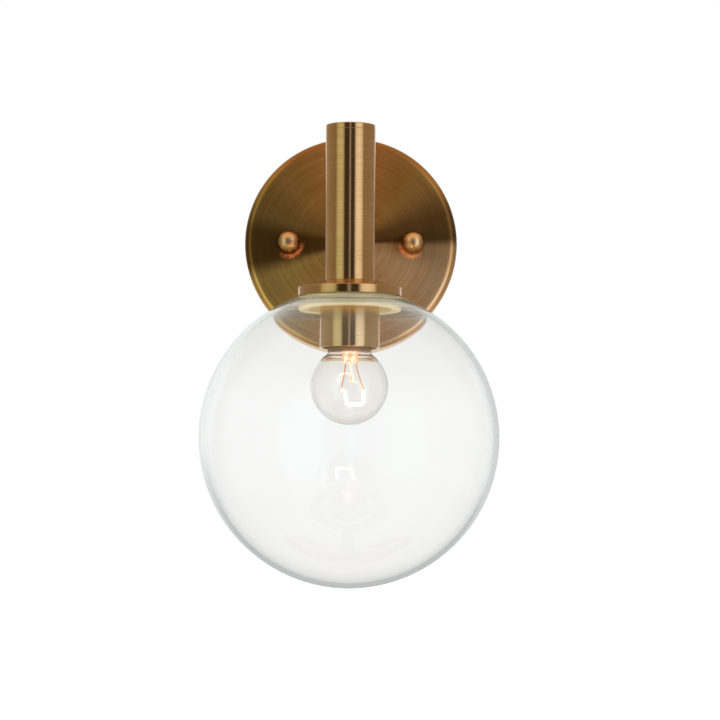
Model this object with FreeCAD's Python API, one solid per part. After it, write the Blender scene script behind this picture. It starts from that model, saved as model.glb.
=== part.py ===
"""Globe wall sconce, in millimetres.

+Z is up, +Y points into the wall and the front faces -Y. The origin is the centre of the wall
plane behind the backplate. Pieces on the stem's axis are turned about a vertical line at
y = -REACH. Pieces that stand out of the wall are drawn with local +Z as the distance from the
wall and then turned to face -Y.
"""
import FreeCAD, Part
import math
import os

os.makedirs("parts", exist_ok=True)

V = FreeCAD.Vector

# ---------------------------------------------------------------- fits and clearances
THREAD_GAP = 0.05        # radial room between a plain-drawn thread and its tapped hole
HOLE_GAP = 0.3           # radial room of a clearance hole round a threaded pipe or stud
SEAT_GAP = 0.3           # room between curved faces of pieces that move apart
SLIP_GAP = 0.05          # room between curved faces that are fastened together
JOIN_GAP = 0.1           # room between wire ends that are welded
EDGE = 0.3               # small broken edge

# ---------------------------------------------------------------- backplate and its fixings
PLATE_DEPTH = 22.0
PLATE_WALL = 1.2
PLATE_EDGE_R = 4.5       # rolled front edge, outside
STUD_SPACING = 66.7      # between the two studs
STUD_R = 2.1
STUD_INTO_KNOB = 8.0     # length of stud in front of the plate
KNOB_R = 6.0
KNOB_FOOT_R = 3.6
KNOB_FOOT_H = 1.2
KNOB_BORE_SPARE = 1.0    # bore depth past the stud's end
PLATE_COVER = 5.0        # plate's radius past the end of the bar behind it
BAR_END = 3.05           # steel past each box-screw slot
BAR_WIDTH = 16.0
BAR_THICK = 2.0
BAR_WIRE_HOLE_R = 7.0
BOX_SCREW_SPACING = 88.9
BOX_SLOT_R = 2.2         # half the slot's width
BOX_SLOT_LENGTH = 9.0    # end to end
STUD_NUT_FLATS = 7.0
STUD_NUT_THICK = 3.2
GROUND_SCREW_X = 19.0
GROUND_SCREW_R = 2.0
GROUND_HEAD_R = 3.9
GROUND_HEAD_H = 2.4
GROUND_SLOT_W = 1.0
GROUND_SLOT_DEPTH = 1.0

# ---------------------------------------------------------------- arm
REACH = 105.0            # stem axis from the wall
ARM_R = 7.0
PIPE_R = 4.85            # hollow threaded pipe, outside
PIPE_BORE_R = 3.2
PIPE_NUT_FLATS = 14.0
PIPE_NUT_THICK = 2.2
PIPE_INTO_ARM = 10.0
PIPE_PAST_NUT = 1.5
WASHER_R = 8.6
WASHER_THICK = 0.8
WASHER_TEETH = 12
WASHER_NOTCH_R = 0.7
SADDLE_R = 8.0           # curved washer inside the stem
SADDLE_FLAT = 7.6        # its flat face from the stem's axis

# ---------------------------------------------------------------- stem
STEM_R = 12.5
STEM_WALL = 1.2
STEM_TOP = 50.8          # top face of the cap
CAP_H = 3.0
CAP_EDGE = 0.5
CAP_SPIGOT = 5.0
CAP_SPIGOT_WALL = 1.8
PLUG_H = 6.0
PIPE_ABOVE_PLUG = 4.0

# ---------------------------------------------------------------- flange
STEM_FOOT = -27.8        # where the stem stands on the flange
FLANGE_RISE = 3.4        # height of the low cone
FLANGE_SIDE = 4.2        # height of the upright side
FLANGE_WALL = 1.0
FLANGE_ROOM = 0.5        # room between the flange's side and the glass neck
FLANGE_TOP_THICK = 1.4
FLANGE_FLAT_R = 13.2     # flat ceiling that the nut bears on
GASKET_SEAT_DROP = 1.1   # gasket seat below the side's top edge
GASKET_THICK = 1.0

# ---------------------------------------------------------------- glass globe
GLOBE_R = 75.0
GLOBE_WALL = 2.5
MOUTH_R = 21.3           # opening that the bulb passes through
NECK_WALL = 3.2
GLASS_RING_WIDTH = 4.6   # thick ring round the opening, inside the globe
GLASS_RING_DROP = 7.0    # its underside below the flange's rim
GLASS_RING_EDGE_R = 0.8
GLASS_RING_BLEND = 2.6   # where the ring runs out into the wall

# ---------------------------------------------------------------- socket cup and lamp holder
CUP_R = 15.0
CUP_WALL = 1.0
CUP_MOUTH_BELOW_RIM = 25.1   # cup's open end below the flange's rim
HOLDER_R = 11.5
HOLDER_RECESS = 3.7      # holder's open end above the cup's
HOLDER_PIPE_DEPTH = 2.5
HOLDER_WEB = 2.0
SHELL_WALL = 0.4
SHELL_SET_BACK = 0.6
CONTACT_R = 4.0
CONTACT_THICK = 0.5
CONTACT_TIP_R = 1.6
CONTACT_TIP_H = 0.5

# ---------------------------------------------------------------- bulb
BULB_R = 19.5
BULB_BELOW_CUP = 20.1    # bulb's centre below the cup's open end
BULB_WALL = 0.8
BULB_NECK_R = 10.2
BULB_NECK_BLEND_R = 4.0
BASE_R = 5.95            # small screw base
BASE_WALL = 0.4
BASE_OVERLAP = 4.0       # glass inside the base
BASE_TIP_R = 1.8
BASE_TIP_H = 0.8
INSULATOR_H = 2.4
INSULATOR_TIP_R = 2.8
PRESS_W = 8.0
PRESS_T = 3.0
PRESS_BELOW_CUP = 8.8
PRESS_TUBE_R = 3.4
PRESS_TUBE_BELOW_CUP = 1.5
ROD_R = 0.55
BUTTON_R = 1.1
BUTTON_BELOW_CUP = 16.8
WIRE_R = 0.3
WIRE_TOP_X = 2.5
WIRE_BEND_X = 3.6
WIRE_FOOT_X = 5.6
WIRE_BEND_BELOW_CUP = 14.2
WIRE_FOOT_BELOW_CUP = 21.8
FILAMENT_R = 0.45
FILAMENT_HALF = 4.7
FILAMENT_BELOW_CUP = 29.2
FILAMENT_KNEE = 1.2       # cut across each lower corner

# ---------------------------------------------------------------- places worked out from the sizes
BAR_LENGTH = BOX_SCREW_SPACING + BOX_SLOT_LENGTH + 2 * BAR_END
PLATE_R = BAR_LENGTH / 2 + PLATE_COVER
STUD_HOLE_R = STUD_R + THREAD_GAP
PIPE_HOLE_R = PIPE_R + THREAD_GAP
PIPE_PASS_R = PIPE_R + HOLE_GAP
PLATE_INNER = PLATE_DEPTH - PLATE_WALL
STEM_IN_R = STEM_R - STEM_WALL
TUBE_TOP = STEM_TOP - CAP_H
ARM_END = REACH - STEM_R
NECK_R = MOUTH_R + NECK_WALL
GLASS_RING_R = MOUTH_R + GLASS_RING_WIDTH
FLANGE_IN_R = NECK_R + FLANGE_ROOM
FLANGE_R = FLANGE_IN_R + FLANGE_WALL
FLANGE_EDGE_Z = STEM_FOOT - FLANGE_RISE
FLANGE_RIM_Z = FLANGE_EDGE_Z - FLANGE_SIDE
FLANGE_CEILING_Z = STEM_FOOT - FLANGE_TOP_THICK
GASKET_SEAT_Z = FLANGE_EDGE_Z - GASKET_SEAT_DROP
NECK_TOP_Z = GASKET_SEAT_Z - GASKET_THICK
GLOBE_Z = FLANGE_RIM_Z - SEAT_GAP - math.sqrt(GLOBE_R ** 2 - FLANGE_IN_R ** 2)
GLOBE_IN_R = GLOBE_R - GLOBE_WALL
GLASS_RING_Z = FLANGE_RIM_Z - GLASS_RING_DROP
CUP_TOP_Z = FLANGE_CEILING_Z - PIPE_NUT_THICK
CUP_MOUTH_Z = FLANGE_RIM_Z - CUP_MOUTH_BELOW_RIM
HOLDER_TOP_Z = CUP_TOP_Z - CUP_WALL - PIPE_NUT_THICK
HOLDER_MOUTH_Z = CUP_MOUTH_Z + HOLDER_RECESS
PIPE_END_Z = HOLDER_TOP_Z - HOLDER_PIPE_DEPTH + THREAD_GAP
CONTACT_SEAT_Z = HOLDER_TOP_Z - HOLDER_PIPE_DEPTH - HOLDER_WEB
CONTACT_TIP_Z = CONTACT_SEAT_Z - CONTACT_THICK - CONTACT_TIP_H
SHELL_IN_R = BASE_R + SEAT_GAP
SHELL_R = SHELL_IN_R + SHELL_WALL
BULB_Z = CUP_MOUTH_Z - BULB_BELOW_CUP
BASE_TIP_Z = CONTACT_TIP_Z - SEAT_GAP
INSULATOR_TOP_Z = BASE_TIP_Z - BASE_TIP_H
BASE_TOP_Z = INSULATOR_TOP_Z - INSULATOR_H
BASE_FOOT_Z = HOLDER_MOUTH_Z - SEAT_GAP
BASE_IN_R = BASE_R - BASE_WALL
BULB_TUBE_R = BASE_IN_R - SLIP_GAP


# ---------------------------------------------------------------- drawing helpers
def outline(start, *steps):
    """Closed face in the XZ plane. A step is an end point, or (mid, end) for an arc."""
    edges = []
    here = start
    for step in steps + (start,):
        is_arc = isinstance(step[0], tuple)
        end = step[1] if is_arc else step
        if math.dist(here, end) > 1e-7:
            a = V(here[0], 0, here[1])
            b = V(end[0], 0, end[1])
            if is_arc:
                mid = V(step[0][0], 0, step[0][1])
                edges.append(Part.Arc(a, mid, b).toShape())
            else:
                edges.append(Part.makeLine(a, b))
        here = end
    return Part.Face(Part.Wire(edges))


def turned(start, *steps):
    """Solid turned about the Z axis from an outline of (radius, height) points."""
    solid = outline(start, *steps).revolve(V(0, 0, 0), V(0, 0, 1), 360)
    return solid if solid.Volume > 0 else solid.reversed()


def on_circle(centre, radius, degrees):
    """Point of a circle in the outline plane."""
    angle = math.radians(degrees)
    return (centre[0] + radius * math.cos(angle), centre[1] + radius * math.sin(angle))


def rounded(centre, radius, start_deg, end_deg):
    """Arc step from start_deg to end_deg round a centre."""
    mid = on_circle(centre, radius, (start_deg + end_deg) / 2)
    return (mid, on_circle(centre, radius, end_deg))


def ring(outer_r, inner_r, low, high, edge=0.0):
    """Plain ring or tube with broken outer edges."""
    return turned((inner_r, low), (outer_r - edge, low), (outer_r, low + edge),
                  (outer_r, high - edge), (outer_r - edge, high), (inner_r, high))


def hex_nut(flats, thick, bore_r, low):
    """Hex nut with its corners turned off at the top."""
    corner = flats / math.sqrt(3)
    points = [V(*on_circle((0, 0), corner, 60 * i), low) for i in range(6)]
    prism = Part.Face(Part.makePolygon(points + points[:1])).extrude(V(0, 0, thick))
    drop = (corner - flats / 2) * 0.6
    cone = turned((0, low), (corner, low), (corner, low + thick - drop),
                  (flats / 2, low + thick), (0, low + thick))
    bore = Part.makeCylinder(bore_r, thick * 3, V(0, 0, low - thick))
    return prism.common(cone).cut(bore)


def at_stem(shape):
    """Move a shape drawn about the Z axis to the stem's axis."""
    return shape.translated(V(0, -REACH, 0))


def on_wall(shape, x=0.0):
    """Turn local +Z, the distance from the wall, to -Y."""
    turned_shape = shape.rotated(V(0, 0, 0), V(1, 0, 0), 90)
    return turned_shape.translated(V(x, 0, 0))


def both_studs(shape):
    """The same wall piece at the left and the right stud, as one group."""
    return Part.makeCompound([on_wall(shape, side * STUD_SPACING / 2) for side in (-1, 1)])


def bent_wire(points, radius):
    """Round wire along straight runs through points in the XZ plane, mitred at its bends."""
    path = Part.makePolygon([V(x, 0, z) for x, z in points])
    start = V(points[0][0], 0, points[0][1])
    along = V(points[1][0], 0, points[1][1]).sub(start)
    section = Part.Wire(Part.makeCircle(radius, start, along))
    return path.makePipeShell([section], True, False, 1)


def save(name, shape):
    """Write one node."""
    shape.exportStep("parts/" + name + ".step")


# ---------------------------------------------------------------- backplate and its fixings
def backplate():
    """Dished round plate, open at the back, with a rolled front edge."""
    corner = (PLATE_R - PLATE_EDGE_R, PLATE_DEPTH - PLATE_EDGE_R)
    in_edge = PLATE_EDGE_R - PLATE_WALL
    inside_r = PLATE_R - PLATE_WALL
    plate = turned((PIPE_PASS_R, PLATE_DEPTH), (corner[0], PLATE_DEPTH),
                   rounded(corner, PLATE_EDGE_R, 90, 0), (PLATE_R, 0), (inside_r, 0),
                   (inside_r, corner[1]), on_circle(corner, in_edge, 45), (corner[0], PLATE_INNER),
                   (PIPE_PASS_R, PLATE_INNER))
    for side in (-1, 1):
        foot = V(side * STUD_SPACING / 2, 0, PLATE_WALL)
        plate = plate.cut(Part.makeCylinder(STUD_R + HOLE_GAP, PLATE_DEPTH, foot))
    return on_wall(plate)


def mounting_crossbar():
    """Steel strap with round ends, box-screw slots, tapped stud holes and a wire hole."""
    bar = Part.makeBox(BAR_LENGTH, BAR_WIDTH, BAR_THICK, V(-BAR_LENGTH / 2, -BAR_WIDTH / 2, 0))
    bar = bar.common(Part.makeCylinder(BAR_LENGTH / 2, BAR_THICK))
    through = BAR_THICK * 3
    bar = bar.cut(Part.makeCylinder(BAR_WIRE_HOLE_R, through, V(0, 0, -BAR_THICK)))
    ground_hole_at = V(GROUND_SCREW_X, 0, -BAR_THICK)
    bar = bar.cut(Part.makeCylinder(GROUND_SCREW_R + THREAD_GAP, through, ground_hole_at))
    straight = BOX_SLOT_LENGTH - 2 * BOX_SLOT_R
    for side in (-1, 1):
        bar = bar.cut(Part.makeCylinder(STUD_HOLE_R, through, V(side * STUD_SPACING / 2, 0, -BAR_THICK)))
        middle = side * BOX_SCREW_SPACING / 2
        corner = V(middle - straight / 2, -BOX_SLOT_R, -BAR_THICK)
        slot = Part.makeBox(straight, 2 * BOX_SLOT_R, through, corner)
        for end in (-1, 1):
            centre = V(middle + end * straight / 2, 0, -BAR_THICK)
            slot = slot.fuse(Part.makeCylinder(BOX_SLOT_R, through, centre))
        bar = bar.cut(slot.removeSplitter())
    return on_wall(bar)


def mounting_stud():
    """Threaded stud from the crossbar into the ball knob."""
    tip = PLATE_DEPTH + STUD_INTO_KNOB
    return ring(STUD_R, 0, 0, tip, EDGE)


def ball_knob(side):
    """Ball nut on a short foot, bored from the back for the stud."""
    foot_top = PLATE_DEPTH + KNOB_FOOT_H
    centre_z = foot_top + math.sqrt(KNOB_R ** 2 - KNOB_FOOT_R ** 2)
    bore_end = PLATE_DEPTH + STUD_INTO_KNOB + KNOB_BORE_SPARE
    start_deg = math.degrees(math.asin(-(centre_z - foot_top) / KNOB_R))
    knob = turned((STUD_HOLE_R, PLATE_DEPTH), (KNOB_FOOT_R, PLATE_DEPTH), (KNOB_FOOT_R, foot_top),
                  rounded((0, centre_z), KNOB_R, start_deg, 90), (0, bore_end), (STUD_HOLE_R, bore_end))
    return on_wall(knob, side * STUD_SPACING / 2)


def ground_screw():
    """Slotted earth screw in the crossbar."""
    head_top = BAR_THICK + GROUND_HEAD_H
    screw = turned((0, 0), (GROUND_SCREW_R, 0), (GROUND_SCREW_R, BAR_THICK), (GROUND_HEAD_R, BAR_THICK),
                   (GROUND_HEAD_R, head_top - EDGE), (GROUND_HEAD_R - EDGE, head_top), (0, head_top))
    corner = V(-GROUND_HEAD_R, -GROUND_SLOT_W / 2, head_top - GROUND_SLOT_DEPTH)
    slot = Part.makeBox(2 * GROUND_HEAD_R, GROUND_SLOT_W, 2 * GROUND_SLOT_DEPTH, corner)
    return on_wall(screw.cut(slot), GROUND_SCREW_X)


# ---------------------------------------------------------------- arm
def arm_tube():
    """Thick tube from the plate to the stem, its front end hollowed to fit the stem."""
    tube = on_wall(ring(ARM_R, PIPE_HOLE_R, PLATE_DEPTH, REACH))
    stem_space = Part.makeCylinder(STEM_R + SLIP_GAP, 4 * ARM_R, V(0, -REACH, -2 * ARM_R))
    room = on_wall(Part.makeCylinder(2 * STEM_R, STEM_R, V(0, 0, REACH)))
    return tube.cut(stem_space.fuse(room))


def arm_rear_nipple():
    """Hollow threaded pipe from the nut behind the plate into the arm."""
    back = PLATE_INNER - WASHER_THICK - PIPE_NUT_THICK - PIPE_PAST_NUT
    return on_wall(ring(PIPE_R, PIPE_BORE_R, back, PLATE_DEPTH + PIPE_INTO_ARM))


def arm_rear_washer():
    """Toothed lock washer against the plate's inside."""
    washer = ring(WASHER_R, PIPE_PASS_R, PLATE_INNER - WASHER_THICK, PLATE_INNER)
    for i in range(WASHER_TEETH):
        x, y = on_circle((0, 0), WASHER_R, i * 360 / WASHER_TEETH)
        foot = V(x, y, PLATE_INNER - 2 * WASHER_THICK)
        washer = washer.cut(Part.makeCylinder(WASHER_NOTCH_R, 3 * WASHER_THICK, foot))
    return on_wall(washer)


def arm_rear_nut():
    """Hex nut that pulls the arm against the plate."""
    nut = hex_nut(PIPE_NUT_FLATS, PIPE_NUT_THICK, PIPE_HOLE_R, 0)
    flipped = nut.rotated(V(0, 0, 0), V(1, 0, 0), 180)
    return on_wall(flipped.translated(V(0, 0, PLATE_INNER - WASHER_THICK)))


def arm_front_nipple():
    """Hollow threaded pipe from the arm through the stem's wall."""
    tip = REACH - SADDLE_FLAT + PIPE_NUT_THICK + PIPE_PAST_NUT / 2
    return on_wall(ring(PIPE_R, PIPE_BORE_R, ARM_END - PIPE_INTO_ARM, tip))


def arm_saddle_washer():
    """Washer with one face curved to the stem's inside."""
    flat_at = REACH - SADDLE_FLAT
    block = on_wall(ring(SADDLE_R, PIPE_PASS_R, REACH - STEM_R, flat_at))
    inside = Part.makeCylinder(STEM_IN_R - SLIP_GAP, 4 * SADDLE_R, V(0, -REACH, -2 * SADDLE_R))
    return block.common(inside)


def arm_front_nut():
    """Hex nut inside the stem."""
    return on_wall(hex_nut(PIPE_NUT_FLATS, PIPE_NUT_THICK, PIPE_HOLE_R, REACH - SADDLE_FLAT))


# ---------------------------------------------------------------- stem
def stem_tube():
    """Upright tube with a side hole for the arm's pipe."""
    tube = at_stem(ring(STEM_R, STEM_IN_R, STEM_FOOT, TUBE_TOP, EDGE / 2))
    side_hole = on_wall(Part.makeCylinder(PIPE_PASS_R, STEM_R, V(0, 0, ARM_END - EDGE)))
    return tube.cut(side_hole)


def stem_top_cap():
    """Disc with a hollow spigot that screws into the tube's top."""
    spigot_r = STEM_IN_R - THREAD_GAP
    spigot_in = spigot_r - CAP_SPIGOT_WALL
    edge = EDGE / 2
    return at_stem(turned((spigot_in, TUBE_TOP - CAP_SPIGOT), (spigot_r, TUBE_TOP - CAP_SPIGOT),
                          (spigot_r, TUBE_TOP), (STEM_R - edge, TUBE_TOP), (STEM_R, TUBE_TOP + edge),
                          (STEM_R, STEM_TOP - CAP_EDGE), (STEM_R - CAP_EDGE, STEM_TOP),
                          (0, STEM_TOP), (0, TUBE_TOP), (spigot_in, TUBE_TOP)))


def stem_end_plug():
    """Tapped plug in the tube's lower end."""
    return at_stem(ring(STEM_IN_R - SLIP_GAP, PIPE_HOLE_R, STEM_FOOT, STEM_FOOT + PLUG_H))


def center_nipple():
    """Hollow threaded pipe that carries the flange, the cup and the lamp holder."""
    return at_stem(ring(PIPE_R, PIPE_BORE_R, PIPE_END_Z, STEM_FOOT + PLUG_H + PIPE_ABOVE_PLUG))


# ---------------------------------------------------------------- flange
def shade_flange():
    """Shallow turned dish: low cone, upright side, and a stepped seat for the gasket inside."""
    seat_in_r = MOUTH_R - SEAT_GAP
    slope = FLANGE_RISE / (FLANGE_R - STEM_R)
    seat_roof_z = FLANGE_CEILING_Z - (seat_in_r - FLANGE_FLAT_R) * slope
    return at_stem(turned((PIPE_PASS_R, STEM_FOOT), (STEM_R, STEM_FOOT),
                          (FLANGE_R - EDGE, FLANGE_EDGE_Z),
                          (FLANGE_R, FLANGE_EDGE_Z - EDGE), (FLANGE_R, FLANGE_RIM_Z + EDGE / 2),
                          (FLANGE_R - EDGE / 2, FLANGE_RIM_Z), (FLANGE_IN_R, FLANGE_RIM_Z),
                          (FLANGE_IN_R, GASKET_SEAT_Z), (seat_in_r, GASKET_SEAT_Z),
                          (seat_in_r, seat_roof_z), (FLANGE_FLAT_R, FLANGE_CEILING_Z),
                          (PIPE_PASS_R, FLANGE_CEILING_Z)))


def flange_lock_nut():
    """Hex nut under the flange's ceiling."""
    return at_stem(hex_nut(PIPE_NUT_FLATS, PIPE_NUT_THICK, PIPE_HOLE_R, CUP_TOP_Z))


def neck_gasket():
    """Rubber ring between the glass neck and the flange."""
    return at_stem(ring(NECK_R, MOUTH_R, NECK_TOP_Z, GASKET_SEAT_Z))


# ---------------------------------------------------------------- glass globe
def glass_globe():
    """Blown ball with a short neck and a thick flat-bottomed ring round its mouth."""
    centre = (0, GLOBE_Z)
    neck_deg = math.degrees(math.acos(NECK_R / GLOBE_R))
    run_out_r = GLASS_RING_R + GLASS_RING_BLEND
    run_out_deg = math.degrees(math.acos(run_out_r / GLOBE_IN_R))
    ring_edge = GLASS_RING_EDGE_R
    inner_edge = (MOUTH_R + ring_edge, GLASS_RING_Z + ring_edge)
    outer_edge = (GLASS_RING_R - ring_edge, GLASS_RING_Z + ring_edge)
    run_out = on_circle(centre, GLOBE_IN_R, run_out_deg)
    blend_mid = (GLASS_RING_R + GLASS_RING_BLEND * 0.25, run_out[1] - (run_out[1] - outer_edge[1]) * 0.3)
    lip = ring_edge / 2
    return at_stem(turned((MOUTH_R, NECK_TOP_Z - lip), (MOUTH_R + lip, NECK_TOP_Z),
                          (NECK_R - lip, NECK_TOP_Z),
                          (NECK_R, NECK_TOP_Z - lip), on_circle(centre, GLOBE_R, neck_deg),
                          rounded(centre, GLOBE_R, neck_deg, -90), (0, GLOBE_Z - GLOBE_IN_R),
                          rounded(centre, GLOBE_IN_R, -90, run_out_deg),
                          (blend_mid, (GLASS_RING_R, outer_edge[1])),
                          rounded(outer_edge, ring_edge, 0, -90),
                          (inner_edge[0], GLASS_RING_Z), rounded(inner_edge, ring_edge, -90, -180)))


# ---------------------------------------------------------------- socket cup and lamp holder
def socket_cup():
    """Plain turned cup, open at the bottom."""
    inside = CUP_R - CUP_WALL
    return at_stem(turned((PIPE_PASS_R, CUP_TOP_Z), (CUP_R - EDGE, CUP_TOP_Z), (CUP_R, CUP_TOP_Z - EDGE),
                          (CUP_R, CUP_MOUTH_Z + EDGE / 2), (CUP_R - EDGE / 2, CUP_MOUTH_Z),
                          (inside, CUP_MOUTH_Z), (inside, CUP_TOP_Z - CUP_WALL),
                          (PIPE_PASS_R, CUP_TOP_Z - CUP_WALL)))


def cup_lock_nut():
    """Hex nut that clamps the cup from inside."""
    return at_stem(hex_nut(PIPE_NUT_FLATS, PIPE_NUT_THICK, PIPE_HOLE_R, HOLDER_TOP_Z))


def holder_body():
    """Ceramic lamp holder, tapped at the top and open at the bottom."""
    bore_r = SHELL_R + SLIP_GAP
    pipe_floor = HOLDER_TOP_Z - HOLDER_PIPE_DEPTH
    return at_stem(turned((PIPE_HOLE_R, HOLDER_TOP_Z), (HOLDER_R - 2 * EDGE, HOLDER_TOP_Z),
                          (HOLDER_R, HOLDER_TOP_Z - 2 * EDGE), (HOLDER_R, HOLDER_MOUTH_Z + 2 * EDGE),
                          (HOLDER_R - 2 * EDGE, HOLDER_MOUTH_Z), (bore_r, HOLDER_MOUTH_Z),
                          (bore_r, CONTACT_SEAT_Z), (0, CONTACT_SEAT_Z), (0, pipe_floor),
                          (PIPE_HOLE_R, pipe_floor)))


def holder_screw_shell():
    """Metal shell that the bulb screws into."""
    return at_stem(ring(SHELL_R, SHELL_IN_R, HOLDER_MOUTH_Z + SHELL_SET_BACK, CONTACT_SEAT_Z))


def holder_center_contact():
    """Sprung contact at the holder's closed end."""
    face = CONTACT_SEAT_Z - CONTACT_THICK
    return at_stem(turned((0, CONTACT_SEAT_Z), (CONTACT_R, CONTACT_SEAT_Z), (CONTACT_R, face),
                          (CONTACT_TIP_R, face), (CONTACT_TIP_R - EDGE, CONTACT_TIP_Z),
                          (0, CONTACT_TIP_Z)))


# ---------------------------------------------------------------- bulb
def bulb_outline(ball_r, neck_r, blend_r):
    """Points where a bulb wall leaves its neck and joins its ball, and the blend between them."""
    blend_x = neck_r + blend_r
    drop = math.sqrt((ball_r + blend_r) ** 2 - blend_x ** 2)
    blend_centre = (blend_x, BULB_Z + drop)
    join_deg = math.degrees(math.atan2(drop, blend_x))
    return blend_centre, join_deg


def bulb_glass():
    """Clear round envelope that narrows through a smooth neck to its base."""
    outer_c, outer_deg = bulb_outline(BULB_R, BULB_NECK_R, BULB_NECK_BLEND_R)
    in_r = BULB_R - BULB_WALL
    inner_c, inner_deg = bulb_outline(in_r, BULB_NECK_R - BULB_WALL, BULB_NECK_BLEND_R + BULB_WALL)
    tube_in = BULB_TUBE_R - BULB_WALL
    tube_top = BASE_FOOT_Z + BASE_OVERLAP
    shoulder = BASE_FOOT_Z - SLIP_GAP
    neck_foot = (BULB_NECK_R, shoulder - BULB_WALL)
    inner_foot = (BULB_NECK_R - BULB_WALL, shoulder - 2 * BULB_WALL)
    return at_stem(turned((tube_in, tube_top), (BULB_TUBE_R, tube_top), (BULB_TUBE_R, shoulder),
                          (BULB_NECK_R - BULB_WALL, shoulder), neck_foot, (BULB_NECK_R, outer_c[1]),
                          rounded(outer_c, BULB_NECK_BLEND_R, 180, 180 + outer_deg),
                          rounded((0, BULB_Z), BULB_R, outer_deg, -90), (0, BULB_Z - in_r),
                          rounded((0, BULB_Z), in_r, -90, inner_deg),
                          rounded(inner_c, BULB_NECK_BLEND_R + BULB_WALL, 180 + inner_deg, 180),
                          inner_foot, (tube_in, shoulder - BULB_WALL)))


def bulb_base_shell():
    """Screw base of the bulb."""
    return at_stem(ring(BASE_R, BASE_IN_R, BASE_FOOT_Z, BASE_TOP_Z))


def bulb_base_insulator():
    """Glass cone between the base and its centre contact."""
    skirt = BASE_TOP_Z - 1.0
    inside = BASE_IN_R - SLIP_GAP
    return at_stem(turned((0, skirt), (inside, skirt), (inside, BASE_TOP_Z), (BASE_R - EDGE, BASE_TOP_Z),
                          (INSULATOR_TIP_R, INSULATOR_TOP_Z), (0, INSULATOR_TOP_Z)))


def bulb_base_contact():
    """Domed centre contact of the bulb."""
    dome_r = (BASE_TIP_R ** 2 + BASE_TIP_H ** 2) / (2 * BASE_TIP_H)
    centre = (0, BASE_TIP_Z - dome_r)
    start_deg = math.degrees(math.acos(BASE_TIP_R / dome_r))
    return at_stem(turned((0, INSULATOR_TOP_Z), (BASE_TIP_R, INSULATOR_TOP_Z),
                          rounded(centre, dome_r, start_deg, 90)))


def bulb_stem_press():
    """Glass mount inside the neck: a tube with a flat press below it, where the wires leave."""
    top = BASE_FOOT_Z - SLIP_GAP
    tube_end = CUP_MOUTH_Z - PRESS_TUBE_BELOW_CUP
    foot = CUP_MOUTH_Z - PRESS_BELOW_CUP
    flare = BULB_TUBE_R - BULB_WALL - SLIP_GAP
    tube = turned((0, top), (flare, top), (PRESS_TUBE_R, top - BULB_WALL * 2),
                  (PRESS_TUBE_R, tube_end), (PRESS_T / 2, tube_end - PRESS_TUBE_R),
                  (0, tube_end - PRESS_TUBE_R))
    half = PRESS_W / 2 - PRESS_T / 2
    slab = Part.makeBox(2 * half, PRESS_T, tube_end - foot, V(-half, -PRESS_T / 2, foot))
    for side in (-1, 1):
        slab = slab.fuse(Part.makeCylinder(PRESS_T / 2, tube_end - foot, V(side * half, 0, foot)))
    return at_stem(tube.fuse(slab).removeSplitter())


def bulb_support_rod():
    """Glass rod with a round button at its end."""
    top = CUP_MOUTH_Z - PRESS_BELOW_CUP
    button_z = CUP_MOUTH_Z - BUTTON_BELOW_CUP
    start_deg = math.degrees(math.acos(ROD_R / BUTTON_R))
    return at_stem(turned((0, top), (ROD_R, top), on_circle((0, button_z), BUTTON_R, start_deg),
                          rounded((0, button_z), BUTTON_R, start_deg, -90)))


def bulb_lead_wires():
    """Two wires that spread from the press to the filament's ends."""
    top = CUP_MOUTH_Z - PRESS_BELOW_CUP - JOIN_GAP
    bend = CUP_MOUTH_Z - WIRE_BEND_BELOW_CUP
    foot = CUP_MOUTH_Z - WIRE_FOOT_BELOW_CUP
    route = [(WIRE_TOP_X, top), (WIRE_BEND_X, bend), (WIRE_FOOT_X, foot)]
    mirrored = [(-x, z) for x, z in route]
    return Part.makeCompound([at_stem(bent_wire(side, WIRE_R)) for side in (mirrored, route)])


def bulb_filament():
    """U-shaped filament hung between the lead wires."""
    foot = CUP_MOUTH_Z - WIRE_FOOT_BELOW_CUP - 2 * JOIN_GAP
    low = CUP_MOUTH_Z - FILAMENT_BELOW_CUP
    knee = FILAMENT_KNEE
    half = FILAMENT_HALF
    left_side = [(-WIRE_FOOT_X, foot), (-half, low + knee), (-half + knee, low)]
    right_side = [(-x, z) for x, z in reversed(left_side)]
    return at_stem(bent_wire(left_side + right_side, FILAMENT_R))


# ---------------------------------------------------------------- write the nodes
save("backplate", backplate())
save("mounting_crossbar", mounting_crossbar())
save("mounting_studs", both_studs(mounting_stud()))
save("stud_lock_nuts", both_studs(hex_nut(STUD_NUT_FLATS, STUD_NUT_THICK, STUD_HOLE_R, BAR_THICK)))
save("ball_knob_left", ball_knob(-1))
save("ball_knob_right", ball_knob(1))
save("ground_screw", ground_screw())
save("arm_tube", arm_tube())
save("arm_rear_nipple", arm_rear_nipple())
save("arm_rear_washer", arm_rear_washer())
save("arm_rear_nut", arm_rear_nut())
save("arm_front_nipple", arm_front_nipple())
save("arm_saddle_washer", arm_saddle_washer())
save("arm_front_nut", arm_front_nut())
save("stem_tube", stem_tube())
save("stem_top_cap", stem_top_cap())
save("stem_end_plug", stem_end_plug())
save("center_nipple", center_nipple())
save("shade_flange", shade_flange())
save("flange_lock_nut", flange_lock_nut())
save("neck_gasket", neck_gasket())
save("glass_globe", glass_globe())
save("socket_cup", socket_cup())
save("cup_lock_nut", cup_lock_nut())
save("holder_body", holder_body())
save("holder_screw_shell", holder_screw_shell())
save("holder_center_contact", holder_center_contact())
save("bulb_glass", bulb_glass())
save("bulb_base_shell", bulb_base_shell())
save("bulb_base_insulator", bulb_base_insulator())
save("bulb_base_contact", bulb_base_contact())
save("bulb_stem_press", bulb_stem_press())
save("bulb_support_rod", bulb_support_rod())
save("bulb_lead_wires", bulb_lead_wires())
save("bulb_filament", bulb_filament())
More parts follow.
